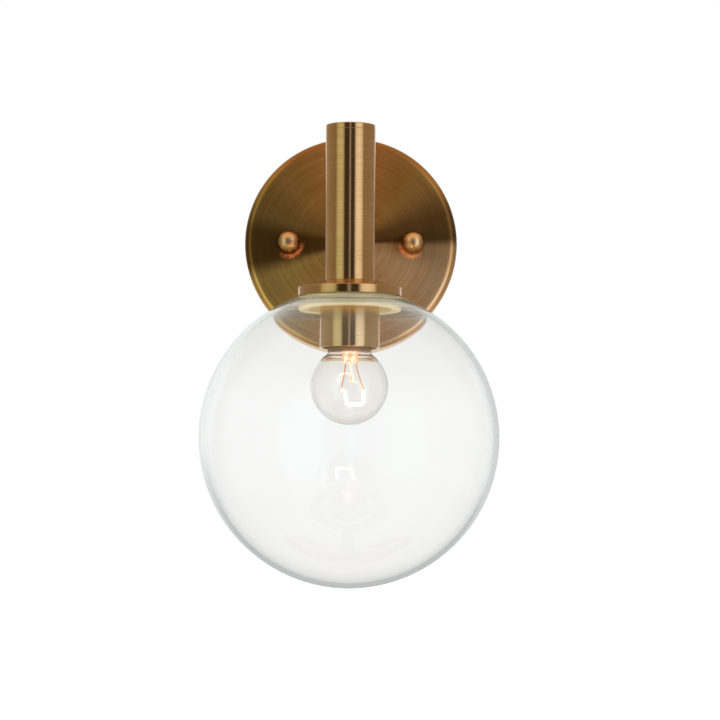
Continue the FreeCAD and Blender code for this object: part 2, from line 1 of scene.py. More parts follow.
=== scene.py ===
"""Dressed model of a globe wall sconce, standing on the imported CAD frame.

The frame is in metres: +Z is up, +Y points into the wall and the origin is the centre of the
wall plane behind the backplate. Sizes of the part are in millimetres and those of the studio in
metres. Meshes are drawn about a local +Z axis, which is either the stem's upright line or a line
that leaves the wall.
"""
import logging
import math
from dataclasses import dataclass
from enum import Enum
from functools import cache
from typing import Any, Optional, Sequence

import bmesh
import bpy
from bmesh.types import BMesh, BMVert
from bpy.types import ID, Material, Mesh, Node, NodeSocket as Socket, NodeTree, Object
from mathutils import Matrix, Vector


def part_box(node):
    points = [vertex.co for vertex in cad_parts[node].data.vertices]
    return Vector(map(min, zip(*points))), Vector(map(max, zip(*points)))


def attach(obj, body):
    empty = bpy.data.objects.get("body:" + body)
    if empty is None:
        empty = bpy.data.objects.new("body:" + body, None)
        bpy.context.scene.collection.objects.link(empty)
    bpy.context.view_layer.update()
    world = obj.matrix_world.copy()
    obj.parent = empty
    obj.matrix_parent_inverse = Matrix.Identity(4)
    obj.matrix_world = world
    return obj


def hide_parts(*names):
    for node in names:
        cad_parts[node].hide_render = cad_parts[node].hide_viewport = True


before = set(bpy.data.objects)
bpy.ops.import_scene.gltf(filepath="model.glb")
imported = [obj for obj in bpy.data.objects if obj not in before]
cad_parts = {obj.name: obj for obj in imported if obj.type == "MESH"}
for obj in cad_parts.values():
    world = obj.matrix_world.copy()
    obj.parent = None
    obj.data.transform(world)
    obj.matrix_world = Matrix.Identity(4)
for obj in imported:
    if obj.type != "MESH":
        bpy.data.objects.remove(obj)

LOG = logging.getLogger("sconce")
MM = 0.001
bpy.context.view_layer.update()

REACH = 105.0            # stem axis from the wall
PLATE_DEPTH = 22.0
STEM_R = 12.5
STEM_FOOT = -27.8        # where the stem stands on the flange
PIPE_HOLE_R = 5.15       # clearance hole for a threaded pipe
STUD_SPACING = 66.7
MOUTH_R = 21.3           # opening of the globe
CUP_MOUTH = -60.5        # height that the bulb's parts are measured from
GLASS_IOR = 1.47
SHARP_ANGLE = math.radians(26)
ARC_STEP = math.radians(2.0)
WIRE_SIDES = 12

Point = tuple[float, float]
Point3 = tuple[float, float, float]
Colour = tuple[float, float, float]
Stops = Sequence[tuple[float, Colour]]

WHITE: Colour = (1.0, 1.0, 1.0)


class Place(Enum):
    """The line that a piece is turned about."""

    STEM = "stem"
    WALL = "wall"
    KNOB_LEFT = "knob_left"
    KNOB_RIGHT = "knob_right"

    def matrix(self) -> Matrix:
        """Matrix from local millimetres to the frame's metres."""
        scale = Matrix.Scale(MM, 4)
        if self is Place.STEM:
            return Matrix.Translation((0, -REACH * MM, 0)) @ scale
        side = {Place.KNOB_LEFT: -STUD_SPACING / 2, Place.KNOB_RIGHT: STUD_SPACING / 2}.get(self, 0.0)
        return Matrix.Translation((side * MM, 0, 0)) @ Matrix.Rotation(math.pi / 2, 4, "X") @ scale


KNOBS = {"left": Place.KNOB_LEFT, "right": Place.KNOB_RIGHT}


def span(node: str, place: Place = Place.STEM) -> tuple[float, float]:
    """Lower and upper end of a CAD node along a line.

    Args:
        node: Name of the node.
        place: The line; on one that leaves the wall, up is away from the wall.

    Returns:
        The two ends, in millimetres.
    """
    low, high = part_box(node)
    if place is Place.STEM:
        return low.z / MM, high.z / MM
    return -high.y / MM, -low.y / MM


# ---------------------------------------------------------------- outlines
def on_circle(centre: Point, radius: float, angle: float) -> Point:
    """Point of a circle.

    Args:
        centre: Middle of the circle.
        radius: Its radius.
        angle: Angle in radians.

    Returns:
        The point.
    """
    return (centre[0] + radius * math.cos(angle), centre[1] + radius * math.sin(angle))


def arc(centre: Point, radius: float, start: float, end: float, step: float = ARC_STEP) -> list[Point]:
    """Points along an arc, both ends included.

    Args:
        centre: Middle of the arc.
        radius: Its radius.
        start: First angle in degrees.
        end: Last angle in degrees.
        step: Largest turn between points, in radians.

    Returns:
        The points in order.
    """
    a, b = math.radians(start), math.radians(end)
    count = max(2, math.ceil(abs(b - a) / step))
    return [on_circle(centre, radius, a + (b - a) * i / count) for i in range(count + 1)]


def arc_through(a: Point, mid: Point, b: Point, count: int) -> list[Point]:
    """Points of the arc through three points.

    Args:
        a: First point.
        mid: Point on the way.
        b: Last point.
        count: Number of chords.

    Returns:
        The points in order, ends included.
    """
    d = 2 * (a[0] * (mid[1] - b[1]) + mid[0] * (b[1] - a[1]) + b[0] * (a[1] - mid[1]))
    squares = [p[0] ** 2 + p[1] ** 2 for p in (a, mid, b)]
    cx = (squares[0] * (mid[1] - b[1]) + squares[1] * (b[1] - a[1]) + squares[2] * (a[1] - mid[1])) / d
    cy = (squares[0] * (b[0] - mid[0]) + squares[1] * (a[0] - b[0]) + squares[2] * (mid[0] - a[0])) / d
    start, turn_mid, turn = (math.atan2(p[1] - cy, p[0] - cx) for p in (a, mid, b))
    turn_mid, turn = (turn_mid - start) % math.tau, (turn - start) % math.tau
    if turn_mid > turn:
        turn -= math.tau
    radius = math.hypot(a[0] - cx, a[1] - cy)
    return [on_circle((cx, cy), radius, start + turn * i / count) for i in range(count + 1)]


def soften(corners: Sequence[Point3], steps: int = 5, hold: float = 0.06) -> list[Point]:
    """Closed outline with some of its corners rounded.

    A point just before and just after each corner keeps the flats between them truly flat when
    the mesh is shaded smooth.

    Args:
        corners: (radius, height, fillet) of each corner; a fillet of 0 stays sharp.
        steps: Chords in each rounded corner.
        hold: Distance of the holding points from the corner.

    Returns:
        The outline's points.
    """
    out: list[Point] = []
    for i, (r, h, fillet) in enumerate(corners):
        here = Vector((r, h))
        back = (Vector(corners[i - 1][:2]) - here).normalized()
        onward = (Vector(corners[(i + 1) % len(corners)][:2]) - here).normalized()
        half = back.angle(onward) / 2
        run = fillet / math.tan(half)
        first, last = here + back * run, here + onward * run
        turn = [(r, h)]
        if fillet > 0:
            centre = here + (back + onward).normalized() * (fillet / math.sin(half))
            mid = centre + (here - centre).normalized() * fillet
            turn = arc_through(tuple(first), tuple(mid), tuple(last), steps)
        if r > hold * 2:
            turn = [tuple(first + back * hold), *turn, tuple(last + onward * hold)]
        out += turn
    return out


# ---------------------------------------------------------------- meshes
def plain_mesh(bm: BMesh, name: str) -> Mesh:
    """Mesh of a bmesh, which is freed.

    Args:
        bm: The bmesh.
        name: Name of the mesh.

    Returns:
        The mesh.
    """
    mesh = bpy.data.meshes.new(name)
    bm.to_mesh(mesh)
    bm.free()
    return mesh


def finish_mesh(bm: BMesh, name: str) -> Mesh:
    """Turn a closed bmesh into a smooth mesh whose hard edges stay hard.

    Args:
        bm: The bmesh; it is freed.
        name: Name of the mesh.

    Returns:
        The mesh.
    """
    bmesh.ops.recalc_face_normals(bm, faces=bm.faces)
    for face in bm.faces:
        face.smooth = True
    for edge in bm.edges:
        edge.smooth = len(edge.link_faces) == 2 and edge.calc_face_angle(0.0) < SHARP_ANGLE
    return plain_mesh(bm, name)


def lathe(name: str, outline: Sequence[Point], segments: int = 160) -> Mesh:
    """Closed mesh turned about local Z.

    Args:
        name: Name of the mesh.
        outline: Closed outline as (radius, height); a radius of 0 is a pole.
        segments: Steps round the axis.

    Returns:
        The mesh, in local millimetres.
    """
    bm = bmesh.new()
    rings: list[list[BMVert]] = []
    for r, h in outline:
        if rings and math.dist((r, h), outline[len(rings) - 1]) < 1e-6:
            rings.append(rings[-1])
        elif r < 1e-6:
            rings.append([bm.verts.new((0, 0, h))])
        else:
            angles = (math.tau * i / segments for i in range(segments))
            rings.append([bm.verts.new((r * math.cos(t), r * math.sin(t), h)) for t in angles])
    for low, high in zip(rings, rings[1:] + rings[:1]):
        if low is high or len(low) == len(high) == 1:
            continue
        for i in range(segments):
            j = (i + 1) % segments
            corners = [low[i % len(low)], low[j % len(low)], high[j % len(high)], high[i % len(high)]]
            bm.faces.new(list(dict.fromkeys(corners)))
    return finish_mesh(bm, name)


def bridge(name: str, rings: Sequence[Sequence[Point3]], closed: bool) -> Mesh:
    """Skin through rings of points.

    Args:
        name: Name of the mesh.
        rings: Rings with the same number of points, in order.
        closed: True to join the last ring to the first, False to cap both.

    Returns:
        The mesh, in local millimetres.
    """
    bm = bmesh.new()
    verts = [[bm.verts.new(p) for p in ring] for ring in rings]
    count = len(rings[0])
    for low, high in zip(verts, verts[1:] + verts[:1] if closed else verts[1:]):
        for i in range(count):
            j = (i + 1) % count
            bm.faces.new([low[i], low[j], high[j], high[i]])
    if not closed:
        bm.faces.new(verts[0])
        bm.faces.new(verts[-1])
    return finish_mesh(bm, name)


def new_object(name: str, data: ID) -> Object:
    """Object in the scene.

    Args:
        name: Its name.
        data: Its mesh, lamp or camera.

    Returns:
        The object.
    """
    made = bpy.data.objects.new(name, data)
    bpy.context.scene.collection.objects.link(made)
    return made


# ---------------------------------------------------------------- node graphs
class Graph:
    """Adds and links nodes in one node tree."""

    def __init__(self, tree: NodeTree) -> None:
        """Start on a tree.

        Args:
            tree: The tree to fill.
        """
        self.tree = tree

    def feed(self, node: Node, inputs: dict[Any, Any]) -> None:
        """Fill some of a node's inputs.

        Args:
            node: The node.
            inputs: Socket name or index to a value or to a socket to link from.
        """
        for key, value in inputs.items():
            socket = node.inputs[key]
            if isinstance(value, Socket):
                self.tree.links.new(value, socket)
            else:
                socket.default_value = (*value, 1.0) if socket.type == "RGBA" else value

    def node(self, kind: str, inputs: Optional[dict[Any, Any]] = None, **settings: Any) -> Node:
        """Add one node.

        Args:
            kind: Node type.
            inputs: Its inputs, as for feed.
            **settings: Attributes of the node.

        Returns:
            The node.
        """
        made = self.tree.nodes.new(kind)
        for key, value in settings.items():
            setattr(made, key, value)
        self.feed(made, inputs or {})
        return made

    def math(self, operation: str, *values: Any) -> Socket:
        """Add a math node, shader or geometry alike.

        Args:
            operation: Math operation.
            *values: Its values or sockets, in order.

        Returns:
            The result's socket.
        """
        return self.node("ShaderNodeMath", dict(enumerate(values)), operation=operation).outputs[0]

    def times(self, first: Any, *others: Any) -> Socket:
        """Multiply values.

        Args:
            first: First value or socket.
            *others: The rest.

        Returns:
            The product's socket.
        """
        for other in others:
            first = self.math("MULTIPLY", first, other)
        return first

    def remap(self, value: Socket, start: float, end: float, low: float = 0.0, high: float = 1.0) -> Socket:
        """Stretch a range of values to another, without going past its ends.

        Args:
            value: Socket of the value.
            start: Value that gives low.
            end: Value that gives high.
            low: First end of the new range.
            high: Last end of the new range.

        Returns:
            The result's socket.
        """
        return self.node("ShaderNodeMapRange", {0: value, 1: start, 2: end, 3: low, 4: high}).outputs[0]

    def split(self, vector: Socket) -> Sequence[Socket]:
        """Split a vector.

        Args:
            vector: Socket of the vector.

        Returns:
            Sockets of x, y and z.
        """
        return self.node("ShaderNodeSeparateXYZ", {0: vector}).outputs

    def flat(self, x: Socket, y: Socket, operation: str = "LENGTH") -> Socket:
        """Length of a flat vector, or the unit vector along it.

        Args:
            x: First part.
            y: Second part.
            operation: LENGTH or NORMALIZE.

        Returns:
            The result's socket.
        """
        joined = self.node("ShaderNodeCombineXYZ", {0: x, 1: y}).outputs[0]
        made = self.node("ShaderNodeVectorMath", {0: joined}, operation=operation)
        return made.outputs["Value" if operation == "LENGTH" else "Vector"]

    def noise(self, point: Socket, scale: Any, detail: float, roughness: float = 0.5) -> Socket:
        """Add soft noise.

        Args:
            point: Socket of the place.
            scale: Grains per metre, a value or a socket.
            detail: Number of finer layers.
            roughness: Weight of the finer layers.

        Returns:
            The noise's socket.
        """
        inputs = {"Vector": point, "Scale": scale, "Detail": detail, "Roughness": roughness}
        return self.node("ShaderNodeTexNoise", inputs).outputs[0]

    def bump(self, height: Socket, depth: float, strength: Any) -> Socket:
        """Add a bump.

        Args:
            height: Socket of the height.
            depth: Depth in millimetres.
            strength: Share of the bump that shows, a value or a socket.

        Returns:
            The normal's socket.
        """
        inputs = {"Strength": strength, "Distance": depth * MM, "Height": height}
        return self.node("ShaderNodeBump", inputs).outputs[0]

    def ramp(self, value: Socket, stops: Stops, mode: str = "LINEAR") -> Socket:
        """Add a colour ramp.

        Args:
            value: Socket that drives it.
            stops: Position and colour of each stop.
            mode: Interpolation.

        Returns:
            The colour's socket.
        """
        made = self.node("ShaderNodeValToRGB", {0: value})
        elements = made.color_ramp.elements
        made.color_ramp.interpolation = mode
        while len(elements) < len(stops):
            elements.new(1.0)
        for element, (position, colour) in zip(elements, stops):
            element.position = position
            element.color = (*colour, 1.0)
        return made.outputs[0]

    def mix(self, factor: Any, a: Any, b: Any, blend: str = "MIX") -> Socket:
        """Add a colour mix.

        Args:
            factor: Value or socket.
            a: First colour or socket.
            b: Second colour or socket.
            blend: Blend type.

        Returns:
            The colour's socket.
        """
        return self.node("ShaderNodeMix", {0: factor, 6: a, 7: b}, data_type="RGBA", blend_type=blend).outputs[2]


def emptied(owner: ID) -> NodeTree:
    """Empty node tree of a material or a world.

    Args:
        owner: The material or the world.

    Returns:
        The tree.
    """
    owner.use_nodes = True
    owner.node_tree.nodes.clear()
    return owner.node_tree


def new_group(name: str, kind: str, inputs: dict[str, str],
              outputs: dict[str, str]) -> tuple[Graph, Sequence[Socket], Node]:
    """Make a node group with named sockets.

    Args:
        name: Name of the group.
        kind: Tree type.
        inputs: Name and type of each input.
        outputs: Name and type of each output.

    Returns:
        The graph, the sockets that it is given and its output node.
    """
    tree = bpy.data.node_groups.new(name, kind)
    for way, sockets in (("INPUT", inputs), ("OUTPUT", outputs)):
        for label, socket in sockets.items():
            tree.interface.new_socket(label, in_out=way, socket_type="NodeSocket" + socket)
    graph = Graph(tree)
    return graph, graph.node("NodeGroupInput").outputs, graph.node("NodeGroupOutput")


@cache
def turned_lines_group() -> NodeTree:
    """Shader group: the fine ring marks of a turned and brushed surface.

    Returns:
        The group, with the local point as input and Lines, Cloud and Turn as outputs.
    """
    graph, given, result = new_group("turned_lines", "ShaderNodeTree", {"Point": "Vector", "Line Density": "Float"},
                                     {"Lines": "Float", "Cloud": "Float", "Turn": "Float"})
    x, y, z = graph.split(given["Point"])
    way = graph.split(graph.flat(x, y, "NORMALIZE"))
    across = graph.math("ADD", graph.flat(x, y), z)
    lines = []
    for density, stretch, detail in ((1.0, 0.9, 1.0), (0.28, 0.5, 2.0)):
        at = graph.node("ShaderNodeCombineXYZ", {
            0: graph.times(way[0], stretch), 1: graph.times(way[1], stretch),
            2: graph.times(across, given["Line Density"], density)}).outputs[0]
        lines.append(graph.noise(at, 1.0, detail, 0.6))
    both = graph.math("ADD", graph.times(lines[0], 0.6), graph.times(lines[1], 0.4))
    turn = graph.math("DIVIDE", graph.math("ARCTAN2", y, x), math.tau)
    graph.feed(result, {"Lines": graph.remap(both, 0.32, 0.68), "Cloud": graph.noise(given["Point"], 60.0, 3.0),
                        "Turn": graph.math("ADD", turn, 0.5)})
    return graph.tree


@cache
def wear_group() -> NodeTree:
    """Shader group: fine pits, soft blotches and stray scratches of a plain metal or moulded part.

    Returns:
        The group, with Point and Grain as inputs and Fine and Soft as outputs.
    """
    graph, given, result = new_group("fine_wear", "ShaderNodeTree", {"Point": "Vector", "Grain": "Float"},
                                     {"Fine": "Float", "Soft": "Float"})
    point, grain = given["Point"], given["Grain"]
    along = graph.node("ShaderNodeMapping", {"Vector": point, "Rotation": (0.3, 0.5, 0.8),
                                             "Scale": (1.0, 14.0, 3.0)}).outputs[0]
    pits = graph.times(graph.noise(point, grain, 4.0), 0.6)
    scratches = graph.times(graph.noise(along, graph.times(grain, 0.12), 3.0), 0.4)
    graph.feed(result, {"Fine": graph.math("ADD", pits, scratches),
                        "Soft": graph.noise(point, graph.times(grain, 0.04), 2.0)})
    return graph.tree


def geometry_group(name: str, inputs: dict[str, str]) -> tuple[Graph, Sequence[Socket], Node]:
    """Geometry group that takes a geometry, other inputs and a material, and ends with real geometry.

    Args:
        name: Name of the group.
        inputs: Name and type of each other input.

    Returns:
        The graph, the sockets that it is given and the node that takes the shape made.
    """
    graph, given, result = new_group(name, "GeometryNodeTree", {"Geometry": "Geometry", **inputs,
                                                                "Material": "Material"}, {"Geometry": "Geometry"})
    real = graph.node("GeometryNodeRealizeInstances")
    dressed = graph.node("GeometryNodeSetMaterial", {0: real.outputs[0], "Material": given["Material"]})
    graph.feed(result, {0: dressed.outputs[0]})
    return graph, given, real


@cache
def thread_group() -> NodeTree:
    """Geometry group: cuts a helical thread into the outer wall of an upright tube.

    Returns:
        The group.
    """
    graph, given, real = geometry_group("screw_thread", {
        "Pitch": "Float", "Depth": "Float", "Least Radius": "Float", "Low": "Float", "High": "Float"})
    pitch = given["Pitch"]
    x, y, z = graph.split(graph.node("GeometryNodeInputPosition").outputs[0])
    turn = graph.math("DIVIDE", graph.math("ARCTAN2", y, x), math.tau)
    phase = graph.math("FRACT", graph.math("ADD", turn, graph.math("DIVIDE", z, pitch)))
    valley = graph.math("ABSOLUTE", graph.math("SUBTRACT", graph.times(phase, 2.0), 1.0))
    above = graph.math("DIVIDE", graph.math("SUBTRACT", z, given["Low"]), pitch)
    below = graph.math("DIVIDE", graph.math("SUBTRACT", given["High"], z), pitch)
    fade = graph.node("ShaderNodeClamp", {0: graph.math("MINIMUM", above, below)}).outputs[0]
    outside = graph.math("GREATER_THAN", graph.flat(x, y), given["Least Radius"])
    depth = graph.times(valley, fade, outside, given["Depth"], -1.0)
    outward = graph.flat(x, y, "NORMALIZE")
    offset = graph.node("ShaderNodeVectorMath", {0: outward, 3: depth}, operation="SCALE").outputs[0]
    moved = graph.node("GeometryNodeSetPosition", {"Geometry": given["Geometry"], "Offset": offset})
    graph.feed(real, {0: moved.outputs[0]})
    return graph.tree


@cache
def wire_group() -> NodeTree:
    """Geometry group: sweeps a round wire along a line of edges.

    Returns:
        The group.
    """
    graph, given, real = geometry_group("round_wire", {"Radius": "Float", "Sides": "Int"})
    line = graph.node("GeometryNodeMeshToCurve", {0: given["Geometry"]}).outputs[0]
    circle = graph.node("GeometryNodeCurvePrimitiveCircle", {"Radius": given["Radius"],
                                                             "Resolution": given["Sides"]}).outputs[0]
    tube = graph.node("GeometryNodeCurveToMesh", {"Curve": line, "Profile Curve": circle, "Fill Caps": True})
    graph.feed(real, {0: tube.outputs[0]})
    return graph.tree


# ---------------------------------------------------------------- finishes
class MaterialGraph(Graph):
    """Graph of a new material, with the surface's point in the frame."""

    def __init__(self, name: str) -> None:
        """Start an empty material.

        Args:
            name: Name of the material.
        """
        self.material = bpy.data.materials.new(name)
        super().__init__(emptied(self.material))
        self.point = self.node("ShaderNodeTexCoord").outputs["Object"]

    def shaded(self, inputs: dict[str, Any]) -> Material:
        """End the graph with a Principled shader.

        Args:
            inputs: Inputs of the shader.

        Returns:
            The material.
        """
        shader = self.node("ShaderNodeBsdfPrincipled", inputs)
        self.node("ShaderNodeOutputMaterial", {0: shader.outputs[0]})
        return self.material

    def ring_marks(self, place: Place, density: float) -> Sequence[Socket]:
        """Add ring marks.

        Args:
            place: Line that they run round.
            density: Marks per metre.

        Returns:
            The sockets of the turned lines group.
        """
        upright = place is Place.STEM
        local = self.node("ShaderNodeMapping", {
            "Vector": self.point, "Location": (0, REACH * MM if upright else 0, 0),
            "Rotation": (0 if upright else -math.pi / 2, 0, 0)}).outputs[0]
        return self.node("ShaderNodeGroup", {"Point": local, "Line Density": density},
                         node_tree=turned_lines_group()).outputs


@dataclass(frozen=True)
class Finish:
    """What every finish has.

    Attributes:
        name: Name of the material.
        slot: Material slot of the record that it stands for.
    """

    name: str
    slot: str


@dataclass(frozen=True)
class BrushedBrass(Finish):
    """Turned brass with fine ring marks.

    Attributes:
        place: Line that the marks run round.
        base: Metal colour.
        shade: Colour in the marks.
        roughness: Roughness across the marks.
        anisotropy: How much the marks draw a highlight out.
        painted_fans: (turn, colour) stops round the axis that multiply the colour, painting the bright and dark fans
            of reflected light that brushed metal shows; or none.
        density: Ring marks per metre.
        spread: What is added to the roughness in the marks and between them.
        rim_r: Radius in millimetres beyond which the metal is smoother, with painted shade towards the top; 0 for
            none.
        rim_polish: How much lower the roughness is beyond it.
        rim_blend: Distances from it in millimetres over which that sets in.
        rim_roll: Distances from it in millimetres over which the painted shade sets in. rim_top: Heights in
            millimetres between which the painted shade on the rim sets in. top_rim_painted_dark: Colour of the
            painted shade on the top of the rim.
        rim_top: Heights in millimetres between which the rim darkens.
        top_rim_painted_dark: Colour of the dark part of the rim.
        lit_knobs: True where the ball knobs throw the lamp's warm light back on the metal.
        arc_r: Radius in millimetres of the warm arc round each knob.
        arc_fade: Distances in millimetres from that radius where the arc's light ends and is full.
        lamp_way: Sideways and upward parts of the way from a knob to the lamp.
        arc_colour: Colour of that light.
        arc_strength: Strength of that light.
    """

    place: Place
    base: Colour = (0.77, 0.49, 0.215)
    shade: Colour = (0.66, 0.40, 0.165)
    roughness: float = 0.21
    anisotropy: float = 0.9
    painted_fans: Stops = ()
    density: float = 2600.0
    spread: tuple[float, float] = (0.03, -0.02)
    rim_r: float = 0.0
    rim_polish: float = 0.16
    rim_blend: tuple[float, float] = (-0.6, 0.6)
    rim_roll: tuple[float, float] = (-0.4, 0.8)
    rim_top: tuple[float, float] = (28.0, 46.0)
    top_rim_painted_dark: Colour = (0.34, 0.165, 0.048)
    lit_knobs: bool = False
    arc_r: float = 7.2
    arc_fade: tuple[float, float] = (1.7, 0.1)
    lamp_way: tuple[float, float] = (-0.42, -0.91)
    arc_colour: Colour = (1.0, 0.24, 0.07)
    arc_strength: float = 0.7

    def material(self) -> Material:
        """Build the material."""
        graph = MaterialGraph(self.name)
        marks = graph.ring_marks(self.place, self.density)
        lines = marks["Lines"]
        cloudy = graph.ramp(marks["Cloud"], [(0.3, (0.9, 0.88, 0.86)), (0.7, WHITE)])
        colour = graph.mix(1.0, graph.mix(lines, self.shade, self.base), cloudy, "MULTIPLY")
        # Painted reflection: bright and dark fans round the axis.
        if self.painted_fans:
            colour = graph.mix(1.0, colour, graph.ramp(marks["Turn"], self.painted_fans, "EASE"), "MULTIPLY")
        rough = graph.remap(lines, 0.0, 1.0, *(self.roughness + extra for extra in self.spread))
        if self.rim_r:
            x, _, z = graph.split(graph.point)
            out = graph.flat(x, z)
            blend = [(self.rim_r + far) * MM for far in self.rim_blend]
            smoother = graph.remap(out, *blend, 0.0, self.rim_polish)
            rough = graph.math("SUBTRACT", rough, smoother)
            # Painted shade: the rolled rim darker towards the top.
            rolled = graph.remap(out, *((self.rim_r + far) * MM for far in self.rim_roll))
            upper = graph.remap(z, self.rim_top[0] * MM, self.rim_top[1] * MM)
            colour = graph.mix(graph.times(rolled, upper), colour, self.top_rim_painted_dark)
        axis = "Z" if self.place is Place.STEM else "Y"
        tangent = graph.node("ShaderNodeTangent", direction_type="RADIAL", axis=axis).outputs[0]
        inputs = {"Base Color": colour, "Roughness": rough, "Normal": graph.bump(lines, 0.02, 0.05),
                  "Tangent": tangent, "Metallic": 1.0, "Anisotropic": self.anisotropy, "Anisotropic Rotation": 0.25}
        if self.lit_knobs:
            inputs.update({"Emission Color": self.arc_colour, "Emission Strength": self.light_arcs(graph)})
        return graph.shaded(inputs)

    def light_arcs(self, graph: MaterialGraph) -> Socket:
        """Small warm arc that each ball knob throws beside its foot, on the lamp's side.

        Args:
            graph: Graph to add to.

        Returns:
            Socket of the light's strength.
        """
        x, _, z = graph.split(graph.point)
        across = graph.math("SUBTRACT", graph.math("ABSOLUTE", x), STUD_SPACING / 2 * MM)
        away = graph.flat(across, z)
        off_ring = graph.math("ABSOLUTE", graph.math("SUBTRACT", away, self.arc_r * MM))
        ring = graph.remap(off_ring, self.arc_fade[0] * MM, self.arc_fade[1] * MM)
        toward = graph.math("ADD", graph.times(across, self.lamp_way[0]), graph.times(z, self.lamp_way[1]))
        side = graph.remap(graph.math("DIVIDE", toward, away), 0.35, 0.95)
        broken = graph.remap(graph.noise(graph.point, 1300.0, 2.0), 0.40, 0.62, 0.15, 1.0)
        return graph.times(ring, side, graph.times(broken, self.arc_strength))


@dataclass(frozen=True)
class Plain(Finish):
    """Any finish without ring marks: bare metal, ceramic, rubber or paint.

    Attributes:
        base: Main colour.
        shade: Colour of the blotches.
        roughness: Middle roughness.
        metallic: 1 for a metal, 0 for the rest.
        grain: Density of the fine grain, per metre.
        bump: Depth of the grain in millimetres.
        coat: Weight of a clear glaze.
        glow: Colour of the light that it gives off.
        glow_strength: Strength of that light.
        edge: Tint of the light that glances off it.
        painted_shade_span: Distances from the wall in millimetres between which painted shade, darkest by the wall,
            gives way to the bright metal; both 0 for none.
    """

    base: Colour
    shade: Colour
    roughness: float
    metallic: float = 1.0
    grain: float = 1800.0
    bump: float = 0.01
    coat: float = 0.0
    glow: Colour = WHITE
    glow_strength: float = 0.0
    edge: Colour = WHITE
    painted_shade_span: tuple[float, float] = (0.0, 0.0)

    def material(self) -> Material:
        """Build the material."""
        graph = MaterialGraph(self.name)
        wear = graph.node("ShaderNodeGroup", {"Point": graph.point, "Grain": self.grain},
                          node_tree=wear_group()).outputs
        colour = graph.mix(graph.remap(wear["Soft"], 0.3, 0.7), self.shade, self.base)
        # Painted shade: the metal darker towards the wall, where it mirrors the dark plate.
        if any(self.painted_shade_span):
            bright = graph.remap(graph.split(graph.point)[1], -self.painted_shade_span[0] * MM, -self.painted_shade_span[1] * MM)
            wallward_shade = graph.ramp(bright, KNOB_PAINTED_SHADE)
            colour = graph.mix(1.0, colour, wallward_shade, "MULTIPLY")
        rough = graph.remap(wear["Fine"], 0.3, 0.7, self.roughness * 0.8, self.roughness * 1.2)
        return graph.shaded({
            "Base Color": colour, "Roughness": rough, "Normal": graph.bump(wear["Fine"], self.bump, 0.5),
            "Metallic": self.metallic, "Coat Weight": self.coat, "Specular Tint": self.edge,
            "Emission Color": self.glow, "Emission Strength": self.glow_strength})


@dataclass(frozen=True)
class Glass(Finish):
    """Clear glass with the faint waves of blown work.

    Attributes:
        tint: Colour of the light that passes one surface.
        shade: The same where the glass is a little thicker.
        wave: Depth of the waves in millimetres.
        wave_scale: Waves per metre.
    """

    tint: Colour = (0.995, 0.996, 0.994)
    shade: Colour = (0.985, 0.989, 0.986)
    wave: float = 0.004
    wave_scale: float = 28.0

    def material(self) -> Material:
        """Build the material."""
        graph = MaterialGraph(self.name)
        waves = graph.noise(graph.point, self.wave_scale, 1.0)
        facing = graph.node("ShaderNodeLayerWeight", {"Blend": 0.5}).outputs["Facing"]
        fade = graph.remap(facing, 0.45, 0.8, 0.3, 0.0)
        return graph.shaded({
            "Base Color": graph.mix(waves, self.shade, self.tint), "Normal": graph.bump(waves, self.wave, fade),
            "Roughness": 0.0, "IOR": GLASS_IOR, "Transmission Weight": 1.0})


@dataclass(frozen=True)
class StreakedGlass(Finish):
    """Thick worked glass: streaked, and above a certain height partly opaque, with painted colour and glow for what
    is seen in it.

    Attributes:
        base: The painted colour.
        shade: The same in the streaks.
        clear: Share of the light that passes where the colour is painted.
        density: Streaks per metre; they run round the stem's line.
        fade: Heights in millimetres between which the painted colour sets in, from below.
        ripple: Depth of the streaks in millimetres.
        lit: Strength of the painted glow, in that colour, for the lamp's light caught in it.
    """

    base: Colour
    shade: Colour
    clear: float = 0.3
    density: float = 900.0
    fade: tuple[float, float] = (-70.0, -65.0)
    ripple: float = 0.04
    lit: float = 0.0

    def material(self) -> Material:
        """Build the material."""
        graph = MaterialGraph(self.name)
        streaks = graph.ring_marks(Place.STEM, self.density)["Lines"]
        # Painted colour and glow above the fade heights.
        painted_zone = graph.remap(graph.split(graph.point)[2], self.fade[0] * MM, self.fade[1] * MM)
        return graph.shaded({
            "Base Color": graph.mix(painted_zone, (0.99, 0.992, 0.988), graph.mix(streaks, self.shade, self.base)),
            "Transmission Weight": graph.remap(painted_zone, 0.0, 1.0, 1.0, self.clear),
            "Normal": graph.bump(streaks, self.ripple, graph.times(painted_zone, 0.6)),
            "Roughness": graph.times(painted_zone, 0.12), "IOR": GLASS_IOR,
            "Emission Color": self.base, "Emission Strength": self.lit})


